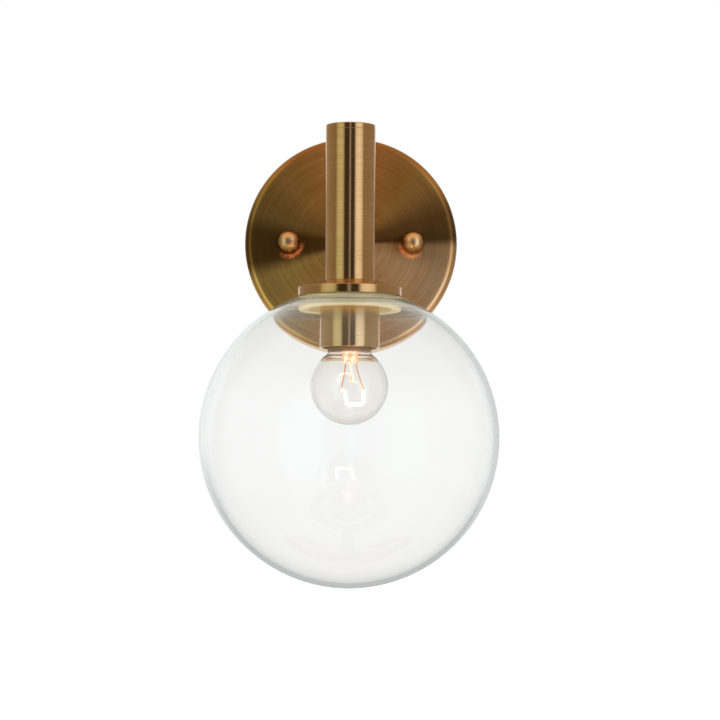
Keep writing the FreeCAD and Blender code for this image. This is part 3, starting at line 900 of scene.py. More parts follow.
@dataclass(frozen=True)
class LitGlass(Finish):
    """Pressed glass beside the filament, with the filament's warm light painted into it as warm colour and glow.

    Attributes:
        tint: Colour of the glass, warmed by painted lamp light.
        side_painted_light: Deeper orange painted lamp light along its sides and in its whorls, as colour.
        light: Colour of the light in it.
        edge: The same along its sides and in its whorls.
        strength: Strength of that light.
        half: Half of its width in millimetres.
        middle: Sideways place of its middle in millimetres.
        core: Share of the half width that is free of the side colour.
        roughness: Its roughness.
        ior: Its refractive index.
        clear: Share of the light that passes.
    """

    tint: Colour = (1.0, 0.94, 0.88)
    side_painted_light: Colour = (1.0, 0.50, 0.28)
    light: Colour = (1.0, 0.86, 0.68)
    edge: Colour = (1.0, 0.33, 0.12)
    strength: float = 0.58
    half: float = 3.7
    middle: float = 0.4
    core: float = 0.72
    roughness: float = 0.08
    ior: float = 1.45
    clear: float = 0.35

    def material(self) -> Material:
        """Build the material."""
        graph = MaterialGraph(self.name)
        cords = graph.noise(graph.point, 420.0, 2.0)
        off = graph.math("ABSOLUTE", graph.math("SUBTRACT", graph.split(graph.point)[0], self.middle * MM))
        sides = graph.remap(off, self.half * self.core * MM, self.half * MM)
        sides = graph.math("MAXIMUM", sides, graph.remap(cords, 0.50, 0.42, 0.0, 0.8))
        # Painted lamp light: warm colour and glow, deeper orange along the sides.
        return graph.shaded({
            "Base Color": graph.mix(sides, self.tint, self.side_painted_light), "Normal": graph.bump(cords, 0.3, 0.6),
            "Emission Color": graph.mix(sides, self.light, self.edge), "Emission Strength": self.strength,
            "Roughness": self.roughness, "IOR": self.ior, "Transmission Weight": self.clear})


@dataclass(frozen=True)
class Glow(Finish):
    """White-hot wire, a little cooler towards its ends.

    Attributes:
        hot: Colour at its middle.
        warm: Colour at its ends.
        strength: Emission strength.
        top: Height of its upper ends, in millimetres.
        low: Height of its lowest run, in millimetres.
    """

    hot: Colour = (1.0, 0.50, 0.20)
    warm: Colour = (1.0, 0.36, 0.11)
    strength: float = 140.0
    top: float = -82.0
    low: float = -90.0

    def material(self) -> Material:
        """Build the material."""
        graph = MaterialGraph(self.name)
        way = graph.remap(graph.split(graph.point)[2], self.top * MM, self.low * MM)
        return graph.shaded({"Base Color": (0.2, 0.18, 0.16), "Roughness": 0.6, "Emission Strength": self.strength,
                             "Emission Color": graph.mix(way, self.warm, self.hot)})


# Share of the way from the wall outward, and the colour that multiplies the metal there: painted shade, darkest by
# the wall, where the knob mirrors the dark plate.
KNOB_PAINTED_SHADE: Stops = ((0.0, (0.34, 0.25, 0.15)), (0.55, (0.56, 0.48, 0.38)), (1.0, WHITE))
# Share of a turn round the plate, and the colour that multiplies the metal there: painted reflection, the bright and
# dark fans of the brushed plate.
PLATE_PAINTED_FANS: Stops = (
    (0.000, (0.23, 0.17, 0.09)), (0.030, (0.24, 0.18, 0.10)), (0.066, (0.93, 0.90, 0.55)),
    (0.200, (1.00, 1.00, 0.70)), (0.300, (1.00, 0.95, 0.90)), (0.430, (1.00, 0.95, 0.95)),
    (0.490, (0.80, 0.70, 0.60)), (0.510, (0.19, 0.14, 0.08)), (0.540, (0.24, 0.18, 0.10)),
    (0.620, (0.70, 0.56, 0.30)), (0.750, (1.00, 0.72, 0.42)), (0.870, (0.72, 0.60, 0.32)),
    (0.944, (0.48, 0.42, 0.24)), (0.985, (0.22, 0.16, 0.08)), (1.000, (0.23, 0.17, 0.09)))

FINISHES: tuple[Finish, ...] = (
    BrushedBrass("brass_at_stem", "brushed_brass", Place.STEM),
    # Paler copy of the stem's brass for the cup: painted light, for the light that the globe's glass takes from it.
    BrushedBrass("brass_of_cup", "brushed_brass", Place.STEM, (0.92, 0.66, 0.36), (0.82, 0.57, 0.30)),
    # The plate's brass: brighter than the stem's as painted light, with painted reflection fans and painted shade on
    # the top of its rim.
    BrushedBrass("brass_at_wall", "brushed_brass", Place.WALL, (1.0, 0.69, 0.35), (0.74, 0.47, 0.21), 0.38, 0.8,
                 PLATE_PAINTED_FANS, density=1500.0, rim_r=53.5, lit_knobs=True),
    BrushedBrass("brass_arm", "brushed_brass", Place.WALL),
    # Ball knobs, with painted shade towards the wall.
    Plain("brass_polished", "polished_brass", (0.93, 0.64, 0.34), (0.86, 0.58, 0.29), 0.32, grain=900.0,
          bump=0.001, edge=(0.42, 0.28, 0.15), painted_shade_span=(28.0, 34.0)),
    Plain("brass_raw", "raw_brass", (0.70, 0.50, 0.24), (0.55, 0.37, 0.16), 0.34),
    Plain("zinc_plated", "zinc_steel", (0.62, 0.63, 0.62), (0.50, 0.52, 0.54), 0.36),
    Plain("green_plated", "green_screw", (0.05, 0.22, 0.08), (0.03, 0.15, 0.05), 0.35, metallic=0.6),
    Plain("rubber", "gasket_rubber", (0.05, 0.05, 0.05), (0.035, 0.035, 0.035), 0.7, metallic=0.0, bump=0.03),
    Plain("ceramic", "holder_ceramic", (0.80, 0.78, 0.73), (0.74, 0.71, 0.65), 0.28, metallic=0.0, grain=700.0,
          coat=0.6),
    Plain("nickel", "nickel_shell", (0.72, 0.69, 0.62), (0.60, 0.57, 0.50), 0.24),
    Plain("insulator", "dark_glass", (0.02, 0.02, 0.025), (0.03, 0.025, 0.03), 0.12, metallic=0.0, coat=0.5),
    Plain("solder", "solder", (0.55, 0.55, 0.54), (0.42, 0.42, 0.43), 0.42, bump=0.04),
    # Lead wires: copper tone warmed, with a painted glow, for the filament's light on them.
    Plain("lead_wire", "lead_wire", (0.62, 0.40, 0.27), (0.50, 0.30, 0.18), 0.3, bump=0.005,
          glow=(1.0, 0.33, 0.12), glow_strength=0.35),
    Glass("globe_glass", "clear_glass"),
    # Ring and mouth: gold-cream painted lamp light and painted reflection of the brass flange, with a painted glow.
    StreakedGlass("mouth_glass", "clear_glass", (1.0, 0.88, 0.46), (0.92, 0.80, 0.46), lit=0.26),
    # Shoulder: partly the glass's own grey-green tint, partly painted shade.
    StreakedGlass("shoulder_glass", "clear_glass", (0.44, 0.45, 0.35), (0.19, 0.21, 0.17), 0.48, 1500.0,
                  (-43.4, -41.0)),
    # Bulb neck: painted reflection of the dark brass cup round it.
    StreakedGlass("bulb_neck_glass", "bulb_glass", (0.46, 0.34, 0.19), (0.36, 0.26, 0.14), 0.3, 900.0,
                  (-64.3, -63.2)),
    Glass("bulb_glass", "bulb_glass", (0.998, 0.994, 0.982), (0.993, 0.989, 0.974), 0.002, 60.0),
    LitGlass("mount_glass", "mount_glass"),
    Glow("hot_filament", "hot_filament"))


# ---------------------------------------------------------------- pieces
class Workshop:
    """Places meshes as pieces of the object and gives them their finish."""

    def __init__(self) -> None:
        """Build every finish once."""
        self.slots = {finish.name: finish.slot for finish in FINISHES}
        self.materials = {finish.name: finish.material() for finish in FINISHES}
        self.count = 0

    def add(self, name: str, mesh: Mesh, finish: str, node: str, body: str = "fixture",
            place: Optional[Place] = None) -> Object:
        """Make a piece that stands for a CAD node.

        Args:
            name: Name of the piece.
            mesh: Its mesh.
            finish: Name of its finish.
            node: CAD node that it replaces.
            body: CAD body that it rides on.
            place: Line that the mesh was drawn about; None if it is in the frame already.

        Returns:
            The object.
        """
        if place is not None:
            mesh.transform(place.matrix())
        mesh.materials.clear()
        mesh.materials.append(self.materials[finish])
        made = new_object(name, mesh)
        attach(made, body)
        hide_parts(node)
        self.count += 1
        LOG.info("piece %d: %s, for %s", self.count, name, node)
        return made

    def turned(self, name: str, outline: Sequence[Point], finish: str, node: str, body: str = "fixture",
               place: Place = Place.STEM, segments: int = 160) -> Object:
        """Make a turned piece.

        Args:
            name: Name of the piece.
            outline: Its closed outline, as for lathe.
            finish: Name of its finish.
            node: CAD node that it replaces.
            body: CAD body that it rides on.
            place: Line that it is turned about.
            segments: Steps round the line.

        Returns:
            The object.
        """
        return self.add(name, lathe(name, outline, segments), finish, node, body, place)

    def skins(self, finish: str, nodes: Sequence[str], body: str = "fixture") -> None:
        """Replace CAD nodes by smooth copies of themselves, with their loose triangles joined.

        Args:
            finish: Name of their finish.
            nodes: Names of the nodes.
            body: CAD body that they ride on.
        """
        for node in nodes:
            bm = bmesh.new()
            bm.from_mesh(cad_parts[node].data)
            bmesh.ops.remove_doubles(bm, verts=bm.verts, dist=1e-6)
            self.add(node + "_skin", finish_mesh(bm, node + "_skin"), finish, node, body)

    def through_nodes(self, mesh: Mesh, group: NodeTree, finish: str,
                      values: dict[str, Any]) -> Mesh:
        """Run a mesh through a geometry group and keep the result.

        Args:
            mesh: The input mesh.
            group: The geometry group.
            finish: Finish that the group sets.
            values: Values of the group's named inputs.

        Returns:
            The finished mesh.
        """
        holder = new_object("holder", mesh)
        modifier = holder.modifiers.new("build", "NODES")
        modifier.node_group = group
        sockets = {item.name: item.identifier for item in group.interface.items_tree if item.in_out == "INPUT"}
        for label, value in {"Material": self.materials[finish], **values}.items():
            modifier[sockets[label]] = value
        bpy.context.view_layer.update()
        graph = bpy.context.evaluated_depsgraph_get()
        result = bpy.data.meshes.new_from_object(holder.evaluated_get(graph))
        holder.modifiers.remove(modifier)
        bpy.data.objects.remove(holder)
        bm = bmesh.new()
        bm.from_mesh(result)
        return finish_mesh(bm, mesh.name)

    def wires(self, name: str, lines: Sequence[Sequence[Point3]], radius: float, finish: str) -> Mesh:
        """Round wires along lines of points.

        Args:
            name: Name of the mesh.
            lines: Points of each wire's centre line.
            radius: Radius of the wire.
            finish: Name of its finish.

        Returns:
            The mesh, in local millimetres.
        """
        bm = bmesh.new()
        for line in lines:
            verts = [bm.verts.new(p) for p in line]
            for a, b in zip(verts, verts[1:]):
                bm.edges.new((a, b))
        return self.through_nodes(plain_mesh(bm, name), wire_group(), finish, {"Radius": radius, "Sides": WIRE_SIDES})


@dataclass(frozen=True)
class Thread:
    """Threaded rod or pipe.

    Attributes:
        radius: Radius over the thread's crests.
        bore: Radius of its bore; 0 for a solid rod.
        pitch: Pitch of the thread.
        depth: Depth of the thread.
        segments: Steps round the axis.
    """

    radius: float = 4.85
    bore: float = 3.2
    pitch: float = 0.94
    depth: float = 0.42
    segments: int = 48

    def mesh(self, shop: Workshop, name: str, ends: Point, finish: str) -> Mesh:
        """Thread about local Z.

        Args:
            shop: The workshop.
            name: Name of the mesh.
            ends: Its lower and its upper end.
            finish: Name of its finish.

        Returns:
            The mesh, in local millimetres.
        """
        low, high = ends
        rows = max(4, math.ceil((high - low) / self.pitch * 8))
        edge = self.depth * 0.7
        wall = [(self.radius, low + edge + (high - low - 2 * edge) * i / rows) for i in range(rows + 1)]
        core = lathe(name, [(self.bore, low), (self.radius - edge, low), *wall, (self.radius - edge, high),
                            (self.bore, high)], self.segments)
        return shop.through_nodes(core, thread_group(), finish, {
            "Pitch": self.pitch, "Depth": self.depth, "Least Radius": self.radius - 0.01, "Low": low, "High": high})

    def replace(self, shop: Workshop, name: str, node: str, finish: str = "brass_raw", body: str = "fixture",
                place: Place = Place.STEM) -> None:
        """Make a threaded piece that stands for a CAD node.

        Args:
            shop: The workshop.
            name: Name of the piece.
            node: CAD node that it replaces.
            finish: Name of its finish.
            body: CAD body that it rides on.
            place: Line that it runs along.
        """
        shop.add(name, self.mesh(shop, name, span(node, place), finish), finish, node, body, place)


@dataclass
class SubAssembly:
    """Pieces that are built together.

    Attributes:
        shop: The workshop that places them.
    """

    shop: Workshop


# ---------------------------------------------------------------- backplate and its fixings
@dataclass
class WallPlate(SubAssembly):
    """Dished plate, its two ball knobs and the steel strap behind it."""

    radius: float = 57.0
    depth: float = PLATE_DEPTH
    wall: float = 1.2
    edge_r: float = 4.5
    knob_r: float = 6.0
    foot_r: float = 3.6
    foot_h: float = 1.2
    foot_edge: float = 0.2
    bore_room: float = 0.05
    bore_spare: float = 1.0
    stud_tip: float = 30.0
    stud: Thread = Thread(2.1, 0.0, 0.8, 0.42, 28)

    def build(self) -> None:
        """Make every piece of the plate."""
        self.shop.turned("plate_dish", self.plate_outline(), "brass_at_wall", "backplate", "fixture", Place.WALL, 240)
        for side, place in KNOBS.items():
            self.shop.turned(f"knob_{side}", self.knob_outline(), "brass_polished", f"ball_knob_{side}",
                             f"{side}_knob", place, 112)
        self.shop.skins("zinc_plated", ["mounting_crossbar", "stud_lock_nuts"])
        self.shop.skins("green_plated", ["ground_screw"])
        both = bmesh.new()
        for place in KNOBS.values():
            stud = self.stud.mesh(self.shop, "stud", (0.0, self.stud_tip), "zinc_plated")
            stud.transform(place.matrix())
            both.from_mesh(stud)
        self.shop.add("studs_threaded", finish_mesh(both, "studs_threaded"), "zinc_plated", "mounting_studs")

    def plate_outline(self) -> list[Point]:
        """Outline of the plate: a rolled front edge and an open back."""
        corner = (self.radius - self.edge_r, self.depth - self.edge_r)
        lip = self.wall * 0.3
        flat = [(r, self.depth) for r in (PIPE_HOLE_R, self.radius * 0.35, self.radius * 0.7)]
        return [*flat, *arc(corner, self.edge_r, 90, 0, ARC_STEP * 2), (self.radius, self.depth * 0.4),
                *arc((self.radius - lip, lip), lip, 0, -90, ARC_STEP * 9),
                *arc((self.radius - self.wall + lip, lip), lip, -90, -180, ARC_STEP * 9),
                *arc(corner, self.edge_r - self.wall, 0, 90, ARC_STEP * 2), (PIPE_HOLE_R, self.depth - self.wall)]

    def knob_outline(self) -> list[Point]:
        """Outline of a ball nut on its short foot, bored for the stud."""
        foot_top = self.depth + self.foot_h
        centre = (0.0, foot_top + math.sqrt(self.knob_r ** 2 - self.foot_r ** 2))
        start = math.degrees(math.asin((foot_top - centre[1]) / self.knob_r))
        bore, bore_end = self.stud.radius + self.bore_room, self.stud_tip + self.bore_spare
        return [(bore, self.depth), (self.foot_r - self.foot_edge, self.depth),
                (self.foot_r, self.depth + self.foot_edge), *arc(centre, self.knob_r, start, 90, ARC_STEP * 1.5),
                (0.0, bore_end), (bore, bore_end)]


# ---------------------------------------------------------------- arm and stem
@dataclass
class Arm(SubAssembly):
    """Thick tube from the plate to the stem, with the pipes and nuts that hold it."""

    radius: float = 7.0
    bore: float = 4.9
    slip: float = 0.05
    segments: int = 128

    def build(self) -> None:
        """Make every piece of the arm."""
        self.shop.add("arm_sleeve", self.sleeve(), "brass_arm", "arm_tube", place=Place.WALL)
        for node in ("arm_rear_nipple", "arm_front_nipple"):
            Thread().replace(self.shop, node + "_threaded", node, place=Place.WALL)
        self.shop.skins("zinc_plated", ["arm_rear_washer", "arm_rear_nut", "arm_saddle_washer", "arm_front_nut"])

    def sleeve(self) -> Mesh:
        """Tube whose front end is hollowed to the stem's curve."""
        rings: list[list[Point3]] = []
        for radius, front in ((self.bore, False), (self.radius, False), (self.radius, True), (self.bore, True)):
            ring = []
            for i in range(self.segments):
                x, y = on_circle((0, 0), radius, math.tau * i / self.segments)
                hollow = REACH - math.sqrt((STEM_R + self.slip) ** 2 - x ** 2)
                ring.append((x, y, hollow if front else PLATE_DEPTH))
            rings.append(ring)
        return bridge("arm_sleeve", rings, True)


@dataclass
class Stem(SubAssembly):
    """Upright tube with its cap, its end plug and the pipe that hangs from it."""

    wall: float = 1.2
    top: float = 50.8
    cap_h: float = 3.0
    cap_edge: float = 0.55
    seam_edge: float = 0.22
    foot_edge: float = 0.15
    spigot: float = 5.0
    spigot_wall: float = 1.8
    fit: float = 0.05

    def build(self) -> None:
        """Make every piece of the stem."""
        inside, seam = STEM_R - self.wall, self.top - self.cap_h
        self.shop.turned("stem_tube_turned", soften([
            (inside, STEM_FOOT, 0), (STEM_R, STEM_FOOT, self.foot_edge), (STEM_R, seam, self.seam_edge),
            (inside, seam, 0)]), "brass_at_stem", "stem_tube", segments=192)
        outer = inside - self.fit
        inner, low = outer - self.spigot_wall, seam - self.spigot
        self.shop.turned("stem_cap_turned", soften([
            (inner, low, 0), (outer, low, 0), (outer, seam, 0), (STEM_R, seam, self.seam_edge),
            (STEM_R, self.top, self.cap_edge), (STEM_R * 0.5, self.top, 0), (0, self.top, 0), (0, seam, 0),
            (inner, seam, 0)]), "brass_at_stem", "stem_top_cap", segments=192)
        self.shop.skins("brass_raw", ["stem_end_plug"])
        Thread().replace(self.shop, "center_pipe_threaded", "center_nipple")


# ---------------------------------------------------------------- flange, cup and lamp holder
@dataclass
class ShadeHolder(SubAssembly):
    """Flange that carries the glass, and the cup and lamp holder under it."""

    flange_r: float = 26.0
    rise: float = 3.4
    side: float = 4.2
    wall: float = 1.0
    ceiling: float = 1.4
    flat_r: float = 13.2
    seat_r: float = 21.0
    seat_drop: float = 1.1
    edge: float = 0.3
    gasket_edge: float = 0.25
    cup_r: float = 15.0
    cup_wall: float = 1.0
    cup_lip: float = 1.0
    cup_edges: tuple[float, float] = (0.2, 0.4)
    holder_r: float = 11.5
    holder_edge: float = 0.6
    holder_bore: float = 6.7
    holder_pipe_r: float = 4.9
    holder_pipe_depth: float = 2.5
    holder_seat_depth: float = 4.5

    def build(self) -> None:
        """Make every piece of the holder."""
        shop = self.shop
        shop.turned("flange_turned", self.flange_outline(), "brass_at_stem", "shade_flange", segments=216)
        shop.turned("cup_turned", self.cup_outline(), "brass_of_cup", "socket_cup", segments=192)
        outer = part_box("neck_gasket")[1].x / MM
        low, high = span("neck_gasket")
        corners = ((MOUTH_R, low), (outer, low), (outer, high), (MOUTH_R, high))
        shop.turned("gasket_ring", soften([(*corner, self.gasket_edge) for corner in corners]), "rubber",
                    "neck_gasket", "globe_thread")
        shop.skins("zinc_plated", ["flange_lock_nut", "cup_lock_nut"])
        shop.turned("holder_body_glazed", self.holder_outline(), "ceramic", "holder_body", segments=128)
        shop.skins("brass_raw", ["holder_screw_shell", "holder_center_contact"])

    def flange_outline(self) -> list[Point]:
        """Outline of the dish: low cone, upright side, stepped seat inside."""
        edge_z = STEM_FOOT - self.rise
        rim_z, seat_z = edge_z - self.side, edge_z - self.seat_drop
        ceiling_z = STEM_FOOT - self.ceiling
        roof_z = ceiling_z - (self.seat_r - self.flat_r) * self.rise / (self.flange_r - STEM_R)
        inside = self.flange_r - self.wall
        return soften([(PIPE_HOLE_R, STEM_FOOT, 0), (STEM_R, STEM_FOOT, 0), (self.flange_r, edge_z, self.edge),
                       (self.flange_r, rim_z, self.edge), (inside, rim_z, self.edge / 2), (inside, seat_z, 0),
                       (self.seat_r, seat_z, 0), (self.seat_r, roof_z, 0), (self.flat_r, ceiling_z, 0),
                       (PIPE_HOLE_R, ceiling_z, 0)])

    def cup_outline(self) -> list[Point]:
        """Outline of the plain cup, open at the bottom."""
        low, high = span("socket_cup")
        low -= self.cup_lip
        inside, ceiling_z = self.cup_r - self.cup_wall, high - self.cup_wall
        return soften([(PIPE_HOLE_R, high, 0), (self.cup_r, high, self.edge), (self.cup_r, low, self.edge),
                       (inside, low, self.cup_edges[0]), (inside, ceiling_z, self.cup_edges[1]),
                       (PIPE_HOLE_R, ceiling_z, 0)])

    def holder_outline(self) -> list[Point]:
        """Outline of the ceramic holder."""
        low, high = span("holder_body")
        seat, floor = high - self.holder_seat_depth, high - self.holder_pipe_depth
        return soften([(self.holder_pipe_r, high, 0), (self.holder_r, high, self.holder_edge),
                       (self.holder_r, low, self.holder_edge), (self.holder_bore, low, 0.3),
                       (self.holder_bore, seat, 0), (0, seat, 0), (0, floor, 0), (self.holder_pipe_r, floor, 0)])


# ---------------------------------------------------------------- glass globe
@dataclass
class Globe(SubAssembly):
    """Blown ball with a short neck and a thick ring round its mouth."""

    radius: float = 75.0
    wall: float = 2.5
    neck_r: float = 24.5
    ring_r: float = 25.9
    ring_z: float = -42.4
    ring_top: float = -39.5
    ring_edge: float = 0.8
    ring_blend: float = 2.6
    neck_z: float = -38.5
    shoulder_z: float = -46.2
    segments: int = 300

    def build(self) -> None:
        """Make the globe."""
        blown = self.shop.turned("globe_blown", self.outline(), "globe_glass", "glass_globe", "globe",
                                 segments=self.segments)
        blown.visible_shadow = False
        for finish in ("mouth_glass", "shoulder_glass"):
            blown.data.materials.append(self.shop.materials[finish])
        centre = Vector((0.0, -REACH, span("glass_globe")[0] + self.radius))
        for face in blown.data.polygons:
            face.material_index = self.glass_at(face.center / MM, centre)

    def glass_at(self, middle: Vector, centre: Vector) -> int:
        """Kind of glass at a place.

        Args:
            middle: The place, in millimetres.
            centre: The ball's middle, in millimetres.

        Returns:
            0 for clear glass, 1 for the ring and the mouth with painted lamp light and brass colour, 2 for the
            shoulder and neck, partly the glass's own grey-green, partly painted shade.
        """
        out = math.hypot(middle.x, middle.y + REACH)
        if middle.z > self.ring_z - 0.02 and out < (self.ring_r if middle.z < self.ring_top else MOUTH_R) + 0.1:
            return 1
        outside = (middle - centre).length > self.radius - self.wall / 2
        return 2 if middle.z > self.shoulder_z and outside or middle.z > self.neck_z else 0

    def outline(self) -> list[Point]:
        """Outline of the ball, its neck and the ring inside its mouth."""
        low, high = span("glass_globe")
        centre = (0.0, low + self.radius)
        inner_r = self.radius - self.wall
        neck = math.degrees(math.acos(self.neck_r / self.radius))
        run_out = math.acos((self.ring_r + self.ring_blend) / inner_r)
        run_out_at = on_circle(centre, inner_r, run_out)
        edge, lip = self.ring_edge, self.ring_edge / 2
        edge_z = self.ring_z + edge
        mid = (self.ring_r + self.ring_blend * 0.25, run_out_at[1] - (run_out_at[1] - edge_z) * 0.3)
        return [*arc((MOUTH_R + lip, high - lip), lip, 180, 90, ARC_STEP * 8),
                *arc((self.neck_r - lip, high - lip), lip, 90, 0, ARC_STEP * 8),
                *arc(centre, self.radius, neck, -90, ARC_STEP * 0.7)[:-1], (0.0, low), (0.0, low + self.wall),
                *arc(centre, inner_r, -90, math.degrees(run_out), ARC_STEP * 0.7)[1:],
                *arc_through(run_out_at, mid, (self.ring_r, edge_z), 10)[1:-1],
                *arc((self.ring_r - edge, edge_z), edge, 0, -90, ARC_STEP * 6),
                *arc((MOUTH_R + edge, edge_z), edge, -90, -180, ARC_STEP * 6)]


# ---------------------------------------------------------------- bulb
@dataclass
class Bulb(SubAssembly):
    """Clear round bulb with its base, mount, wires and glowing filament."""

    radius: float = 19.5
    wall: float = 0.8
    neck_r: float = 11.2
    neck_glass_z: float = -64.4
    blend_r: float = 1.0
    tube_r: float = 5.5
    base_overlap: float = 4.0
    base_gap: float = 0.05
    base: Thread = Thread(5.95, 5.55, 2.5, 0.3, 64)
    press: tuple[float, float] = (8.0, 3.0)
    press_tube_r: float = 3.4
    press_flare_r: float = 4.65
    press_segments: int = 48
    rod_r: float = 0.55
    button_r: float = 1.1
    wire_r: float = 0.3
    wire_route: tuple[Point, ...] = ((2.5, -8.9), (3.6, -14.2), (5.6, -21.8))
    filament_r: float = 0.7
    filament_foot: float = -22.0
    filament_low: float = -29.2
    filament_sides: Point = (-3.6, 5.1)
    filament_knee: float = 1.3
    lean: float = 0.07

    def build(self) -> None:
        """Make every piece of the bulb."""
        shop = self.shop
        envelope = shop.turned("bulb_envelope", self.outline(), "bulb_glass", "bulb_glass", "bulb", segments=144)
        envelope.visible_shadow = False
        # The neck inside the cup takes the painted reflection of the cup's dark brass.
        envelope.data.materials.append(shop.materials["bulb_neck_glass"])
        for face in envelope.data.polygons:
            face.material_index = int(face.center.z > self.neck_glass_z * MM)
        self.add_leaning("bulb_mount", self.mount(), "mount_glass", "bulb_stem_press")
        self.add_leaning("bulb_rod", lathe("bulb_rod", self.rod_outline(), 40), "mount_glass", "bulb_support_rod")
        self.base.replace(shop, "bulb_base_threaded", "bulb_base_shell", "nickel", "bulb")
        shop.skins("insulator", ["bulb_base_insulator"], "bulb")
        shop.skins("solder", ["bulb_base_contact"], "bulb")
        for name, lines, radius, finish, node in (
                ("lead_wires", self.wire_lines(), self.wire_r, "lead_wire", "bulb_lead_wires"),
                ("filament_glowing", [self.filament_line()], self.filament_r, "hot_filament", "bulb_filament")):
            self.add_leaning(name, shop.wires(name, lines, radius, finish), finish, node)

    def add_leaning(self, name: str, mesh: Mesh, finish: str, node: str) -> None:
        """Make a piece of the bulb's inside, which leans a little to the right, as it was sealed in.

        Args:
            name: Name of the piece.
            mesh: Its mesh, upright and in local millimetres.
            finish: Name of its finish.
            node: CAD node that it replaces.
        """
        shear = Matrix.Identity(4)
        shear[0][2] = -self.lean
        shear[0][3] = self.lean * CUP_MOUTH
        mesh.transform(shear)
        self.shop.add(name, mesh, finish, node, "bulb", Place.STEM)

    def outline(self) -> list[Point]:
        """Outline of the envelope."""
        low, high = span("bulb_glass")
        centre = (0.0, low + self.radius)
        shoulder = high - self.base_overlap - self.base_gap
        across = self.neck_r + self.blend_r
        drop = math.sqrt((self.radius + self.blend_r) ** 2 - across ** 2)
        bend, meet = (across, centre[1] + drop), math.degrees(math.atan2(drop, across))
        neck_in, tube_in = self.neck_r - self.wall, self.tube_r - self.wall
        step = ARC_STEP * 1.3
        return [(tube_in, high), (self.tube_r, high), (self.tube_r, shoulder),
                *arc((neck_in, shoulder - self.wall), self.wall, 90, 0, ARC_STEP * 6),
                *arc(bend, self.blend_r, 180, 180 + meet, ARC_STEP * 2)[:-1],
                *arc(centre, self.radius, meet, -90, step)[:-1], (0.0, low), (0.0, low + self.wall),
                *arc(centre, self.radius - self.wall, -90, meet, step)[1:-1],
                *arc(bend, self.blend_r + self.wall, 180 + meet, 180, ARC_STEP * 2),
                (neck_in, shoulder - 2 * self.wall), (tube_in, shoulder - self.wall)]

    def mount(self) -> Mesh:
        """Glass tube that flattens into the press."""
        low, high = span("bulb_stem_press")
        half_w, half_t = self.press[0] / 2, self.press[1] / 2
        flare, tube = self.press_flare_r, self.press_tube_r
        rows = [(high, flare, flare), (high - 1.6, tube, tube), (CUP_MOUTH - 1.5, tube, tube),
                (CUP_MOUTH - 2.6, 3.65, 2.5), (CUP_MOUTH - 3.8, half_w - 0.1, half_t + 0.15),
                (CUP_MOUTH - 5.0, half_w, half_t), (low + 0.5, half_w, half_t),
                (low + 0.1, half_w - 0.3, half_t - 0.3), (low, half_w - 0.7, half_t - 0.7)]
        angles = [math.tau * i / self.press_segments for i in range(self.press_segments)]
        rings = []
        for z, a, b in rows:
            power = 1.0 if a == b else 0.75
            rings.append([(math.copysign(abs(math.cos(t)) ** power, math.cos(t)) * a,
                           math.copysign(abs(math.sin(t)) ** power, math.sin(t)) * b, z) for t in angles])
        return bridge("bulb_mount", rings, False)

    def rod_outline(self) -> list[Point]:
        """Outline of the support rod and its button."""
        low, high = span("bulb_support_rod")
        start = math.degrees(math.acos(self.rod_r / self.button_r))
        button = arc((0.0, low + self.button_r), self.button_r, start, -90, ARC_STEP * 5)
        return [(0.0, high), (self.rod_r, high), *button[:-1], (0.0, low)]

    def wire_lines(self) -> list[list[Point3]]:
        """Centre lines of the two lead wires."""
        return [[(side * x, 0.0, CUP_MOUTH + z) for x, z in self.wire_route] for side in (-1, 1)]

    def filament_line(self) -> list[Point3]:
        """Centre line of the filament, from the left wire round to the right one."""
        foot, low = CUP_MOUTH + self.filament_foot, CUP_MOUTH + self.filament_low
        (left, right), knee = self.filament_sides, self.filament_knee
        path = [(-5.5, foot), (-4.4, foot - 0.3), (left - 0.2, foot - 1.2),
                *arc((left + knee, low + knee), knee, 180, 270, ARC_STEP * 8),
                *arc((right - knee, low + knee), knee, -90, 0, ARC_STEP * 8), (5.5, foot)]
        return [(x, 0.0, z) for x, z in path]


# ---------------------------------------------------------------- studio
NEAR_BLACK: Colour = (0.025, 0.02, 0.012)
# Azimuth in degrees, 0 towards the camera, and the colour that metal mirrors from there.
MIRROR_BANDS: Stops = (
    (-180, WHITE), (-158, (0.96, 0.94, 0.96)), (-143, (0.40, 0.36, 0.33)), (-70, (0.28, 0.23, 0.16)),
    (-64, (0.60, 0.65, 0.52)), (-50, (0.76, 0.86, 0.70)), (-33, (0.64, 0.72, 0.60)), (-27, NEAR_BLACK),
    (-5, NEAR_BLACK), (-2.5, (0.50, 0.52, 0.70)), (0.5, (0.50, 0.52, 0.70)), (3, NEAR_BLACK),
    (20, (0.03, 0.022, 0.014)), (25, (0.95, 1.02, 1.2)), (38, (1.2, 1.3, 1.5)), (56, (0.95, 1.0, 1.15)),
    (62, (0.33, 0.28, 0.22)), (143, (0.36, 0.31, 0.28)), (157, (0.90, 0.88, 0.94)), (180, WHITE))
# Height, from 0 straight down to 1 straight up, and the colour seen there through the glass.
THROUGH_GLASS: Stops = (
    (0.20, (0.82, 0.83, 0.83)), (0.40, (0.93, 0.94, 0.93)), (0.52, (0.98, 0.985, 0.98)), (0.65, WHITE))
# Name, place, size and power of each lamp.
LAMPS = (("key", (-1.1, -1.3, 1.4), 1.2, 26.0), ("fill", (1.3, -1.0, 0.7), 1.4, 12.0),
         ("back", (0.2, 0.9, 1.3), 1.0, 8.0))


